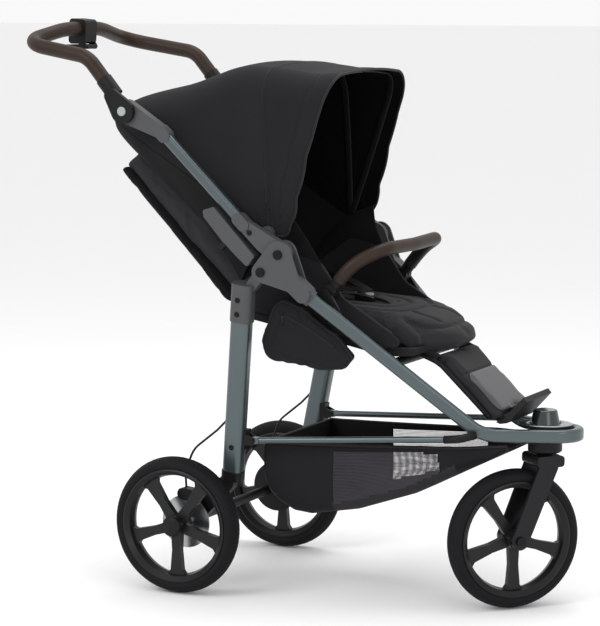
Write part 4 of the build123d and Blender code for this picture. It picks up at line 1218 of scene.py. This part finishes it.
# ---------------------------------------------------------------- bars
@dataclass
class Bars:
    """Leather on the bumper bar with its stitched seam, a near-black tube along the inner side of its arms and its end
    buttons.
    """

    shop: Workshop

    def bumper_route(self) -> np.ndarray:
        """The bumper bar's centre line."""
        half = [(331, -184, 664), (385, -183, 732), (440, -142, 762), (446, 0, 760)]
        corners = half + [(x, -y, z) for x, y, z in half[-2::-1]]
        return rounded_path(path_of(corners), [0.1, 0.06, 0.3, 0.06, 0.1])

    def build(self) -> None:
        """Makes the bumper's leather and its seam, a near-black tube along the inner side of each arm and the buttons
        at its ends.
        """
        route = resampled(self.bumper_route(), 240)
        run = lengths(route)
        inner = route[(run > 0.036) & (run < run[-1] - 0.036)]
        leather = sweep("bumper_leather", inner, circle(14.2 * MM, 24))
        self.shop.join(leather, "grip_leather", "grip_leather", "bumper")
        drop = np.array((-0.55, 0, -0.83))
        self.shop.stitches("bumper_stitches", inner + drop * 14.2 * MM, drop, "bumper")
        for side in SIDES:
            arm = inner[inner[:, 1] * side > 0.118]
            # A near-black tube set a little inward and down from the leather, so it shows along each arm's inner side.
            lining = sweep(f"bumper_lining_{SIDE_TAGS[side]}", arm + np.array((-0.5, -1.9 * side, -0.4)) * MM,
                           circle(14.0 * MM, 24))
            self.shop.join(lining, "trim", "grip_leather", "bumper")
            face = sweep(f"bumper_boss_{SIDE_TAGS[side]}", path_of([(331, 172 * side, 664), (331, 166 * side, 664)]),
                         circle(9 * MM, 32))
            self.shop.join(face, "light_button", "light_button", "bumper")


# ---------------------------------------------------------------- basket
@dataclass
class Basket:
    """The shopping basket: one lofted bag with a net window on each side.

    Attributes:
        stations: Rows of x, bottom, top and half-width, in millimetres.
        window: Where the net starts and ends ahead of the rear axle, in millimetres.
    """

    shop: Workshop
    stations: tuple = ((167, 236, 331, 163), (176, 214, 331, 163.5), (196, 196, 331, 162), (228, 180, 332, 161),
                       (266, 176, 333, 158), (373, 195, 337, 149.5), (501, 238, 343, 138), (600, 288, 347, 129),
                       (660, 318, 350, 104), (700, 342, 352, 86))
    window: tuple = (330, 566)

    def section(self, x: float, count: int = 90) -> np.ndarray:
        """The bag's cross-section at one station, right rim to left rim."""
        table = np.array(self.stations)
        bottom, top, half = (np.interp(x, table[:, 0], table[:, k]) for k in (1, 2, 3))
        corner = min(34.0, (top - bottom) * 0.6)
        turn = np.linspace(0, math.pi / 2, 12)
        side = np.linspace(top, bottom + corner, 30)[:-1]
        right = np.concatenate((np.stack((np.full(len(side), -half), side), axis=1),
                                np.stack((-half + corner - corner * np.cos(turn),
                                          bottom + corner - corner * np.sin(turn)), axis=1)))
        both = np.vstack((right, (right * (-1, 1))[::-1]))
        even = resampled(both, count)
        sag = 5 * np.clip((200 - abs(x - 380)) / 200, 0, 1)
        middle = 1 - (even[:, 0] / half) ** 2
        even[:, 1] -= sag * middle * 0.4
        even[:, 0] *= 1 + 0.022 * np.sin(np.pi * np.clip((top - even[:, 1]) / (top - bottom), 0, 1))
        return np.concatenate((np.full((count, 1), x), even), axis=1)

    def build(self) -> None:
        """Makes the bag, its nets, gusset and rim binding."""
        places = np.concatenate((np.linspace(167, 200, 8)[:-1], np.linspace(200, 700, 110)))
        rows = [self.section(x) for x in places]
        rim = np.stack((np.full(90, 168.5), np.linspace(-163, 163, 90), np.full(90, 331.0)), axis=1)
        wall = [rim + (rows[0] - rim) * share for share in np.linspace(0, 1, 16)[:-1]]
        points = (np.array(wall + rows) + (REAR_AXLE_X, 0, 0)) * MM
        middle = (points[1:, :-1] + points[:-1, 1:]) / 2
        x, z = middle[..., 0] / MM - REAR_AXLE_X, middle[..., 2] / MM
        table = np.array(self.stations)
        bottom = np.interp(x, table[:, 0], table[:, 1])
        top = np.interp(x, table[:, 0], table[:, 2])
        net = ((x > self.window[0]) & (x < self.window[1] - 18 * ((z - 300) / 60) ** 2)
               & (z > bottom + 22) & (z < top - 12))
        bag = grid_piece("basket_bag", points, keep=~net)
        bag.data.materials.append(self.shop.palette["basket_cloth"])
        bag.data.materials.append(self.shop.palette["gusset"])
        number = np.cumsum(~net).reshape(net.shape) - 1
        low = (~net) & (z < bottom + 24) & (x > self.window[0] - 6) & (x < 600)
        for k in number[low]:
            bag.data.polygons[int(k)].material_index = 1
        outward(thickened(bag, 2.0 * MM))
        self.shop.join(bag, "basket_cloth", "mesh_fabric", "frame")
        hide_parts("basket")
        self.nets(points, net)
        top_edge = np.vstack((points[15:, 0], points[-1, 1:-1], points[15:, -1][::-1], points[0, ::-1][1:-1]))
        rim_cord = sweep("basket_rim", top_edge, circle(3.4 * MM, 10), closed=True)
        self.shop.join(rim_cord, "trim", "mesh_fabric", "frame")

    def nets(self, points: np.ndarray, net: np.ndarray) -> None:
        """The net windows as real strands."""
        rows = np.where(net.any(axis=1))[0]
        for side, half in ((-1, slice(0, 45)), (1, slice(44, 89))):
            columns = np.where(net[:, half].any(axis=0))[0] + half.start
            patch = points[rows[0]:rows[-1] + 2, columns[0]:columns[-1] + 2]
            keep = net[rows[0]:rows[-1] + 1, columns[0]:columns[-1] + 1]
            piece = grid_piece(f"basket_net_{SIDE_TAGS[side]}", patch, keep=keep)
            finer = piece.modifiers.new("finer", "SUBSURF")
            finer.subdivision_type, finer.levels, finer.render_levels = "SIMPLE", 1, 1
            strands = piece.modifiers.new("strands", "WIREFRAME")
            strands.thickness, strands.use_even_offset = 1.3 * MM, False
            baked(piece)
            self.shop.join(piece, "net", "mesh_fabric", "frame")


# ---------------------------------------------------------------- side pocket
@dataclass
class Pocket:
    """The zipped side pocket under the right frame tube."""

    shop: Workshop

    def build(self) -> None:
        """Makes the pocket, its piping and zip."""
        outline = [(228, 648), (208, 632), (182, 560), (190, 530), (208, 519), (318, 503), (374, 511), (395, 535),
                   (358, 580), (281, 630)]
        inner = [(236, 622), (212, 560), (216, 540), (316, 523), (362, 530)]
        pocket = Pad(self.shop, "side_pocket", "pocket_bag", "frame", finish="fabric", voxel=4.0, travel=7, fill=0.4,
                     seams=[smooth_path(path_of([(x, -203, z) for x, z in inner]), 60)], seam_width=3.0,
                     seam_depth=2.2).build()
        loop = smooth_path(path_of([(x, -203, z) for x, z in outline + outline[:1]]), 160)[:-1]
        edge = laid_on(pocket, loop, 0.5 * MM)
        self.shop.join(sweep("pocket_piping", edge, circle(1.9 * MM, 8), closed=True), "trim", "fabric", "frame")
        zip_path = laid_on(pocket, resampled(path_of([(228, -204, 622), (300, -204, 590), (356, -204, 556)]), 60),
                           0.8 * MM)
        self.shop.join(sweep("pocket_zip", zip_path, flat_section(6 * MM, 1.6 * MM), up=(0, -1, 0)), "black_plastic",
                       "fabric", "frame")
        hang = zip_path[4] + np.array(((0, -2.5, 0), (0, -2.5, -22))) * MM
        pull = sweep("pocket_zip_pull", hang, flat_section(7 * MM, 1.8 * MM), up=(0, -1, 0))
        self.shop.join(pull, "black_plastic", "black_plastic", "frame")


# ---------------------------------------------------------------- studio
@dataclass
class Studio:
    """Pale floor, soft lights and the camera."""

    shop: Workshop

    def build(self) -> None:
        """Sets up the floor, lights and camera."""
        self.floor()
        self.lights()
        self.camera()

    def floor(self) -> None:
        """A wide pale floor."""
        floor = new_piece("floor", np.array(((-90, -90, 0), (90, -90, 0), (90, 90, 0), (-90, 90, 0)))
                          + (0, 0, -0.0005), [[0, 1, 2, 3]])
        floor.data.materials.append(self.shop.palette["floor"])

    def lights(self) -> None:
        """A white room and three large soft lamps."""
        world = bpy.data.worlds.new("studio")
        bpy.context.scene.world = world
        world.use_nodes = True
        background = world.node_tree.nodes["Background"]
        background.inputs["Color"].default_value = (1.0, 1.0, 1.0, 1.0)
        background.inputs["Strength"].default_value = 0.95
        for name, place, power, size in (("key", (-1.6, -3.4, 3.2), 60, 2.2), ("fill", (3.4, -2.6, 1.8), 22, 2.0),
                                         ("top", (0.1, 0.6, 3.6), 40, 2.4)):
            data = bpy.data.lights.new(name, "AREA")
            data.energy, data.size, data.shape = power, size, "DISK"
            lamp = bpy.data.objects.new(name, data)
            lamp.location = place
            lamp.rotation_euler = (Vector((0, 0, 0.6)) - Vector(place)).to_track_quat("-Z", "Y").to_euler()
            bpy.context.scene.collection.objects.link(lamp)
        bpy.context.scene.view_settings.view_transform = "Standard"

    def camera(self) -> None:
        """The camera, a little above and ahead of the stroller's right side."""
        place, target = Vector((2.3914, -4.8353, 1.2941)), Vector((-0.0370, 0.0, 0.5941))
        data = bpy.data.cameras.new("camera")
        data.lens = 141.8
        camera = bpy.data.objects.new("camera", data)
        camera.location = place
        camera.rotation_euler = (target - place).to_track_quat("-Z", "Y").to_euler()
        bpy.context.scene.collection.objects.link(camera)
        bpy.context.scene.camera = camera


def main() -> None:
    """Builds the whole look."""
    logging.basicConfig(level=logging.INFO, format="%(name)s: %(message)s")
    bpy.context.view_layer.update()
    shop = Workshop()
    HardParts(shop).build()
    steer = math.radians(FRONT_WHEEL_TURN)
    for node, body, turn in (("rear_tyre_r", "rear_wheel_r", 0.0), ("rear_tyre_l", "rear_wheel_l", 0.0),
                             ("front_tyre", "front_wheel", steer)):
        low, high = (np.array(corner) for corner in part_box(node))
        axle = np.array((-math.sin(turn), math.cos(turn), 0.0))
        Tyre(shop, node, body, (low + high) / 2, axle).build()
    Hood(shop).build()
    Seat(shop).build()
    Bars(shop).build()
    Basket(shop).build()
    Pocket(shop).build()
    Studio(shop).build()


if __name__ == "__main__":
    main()
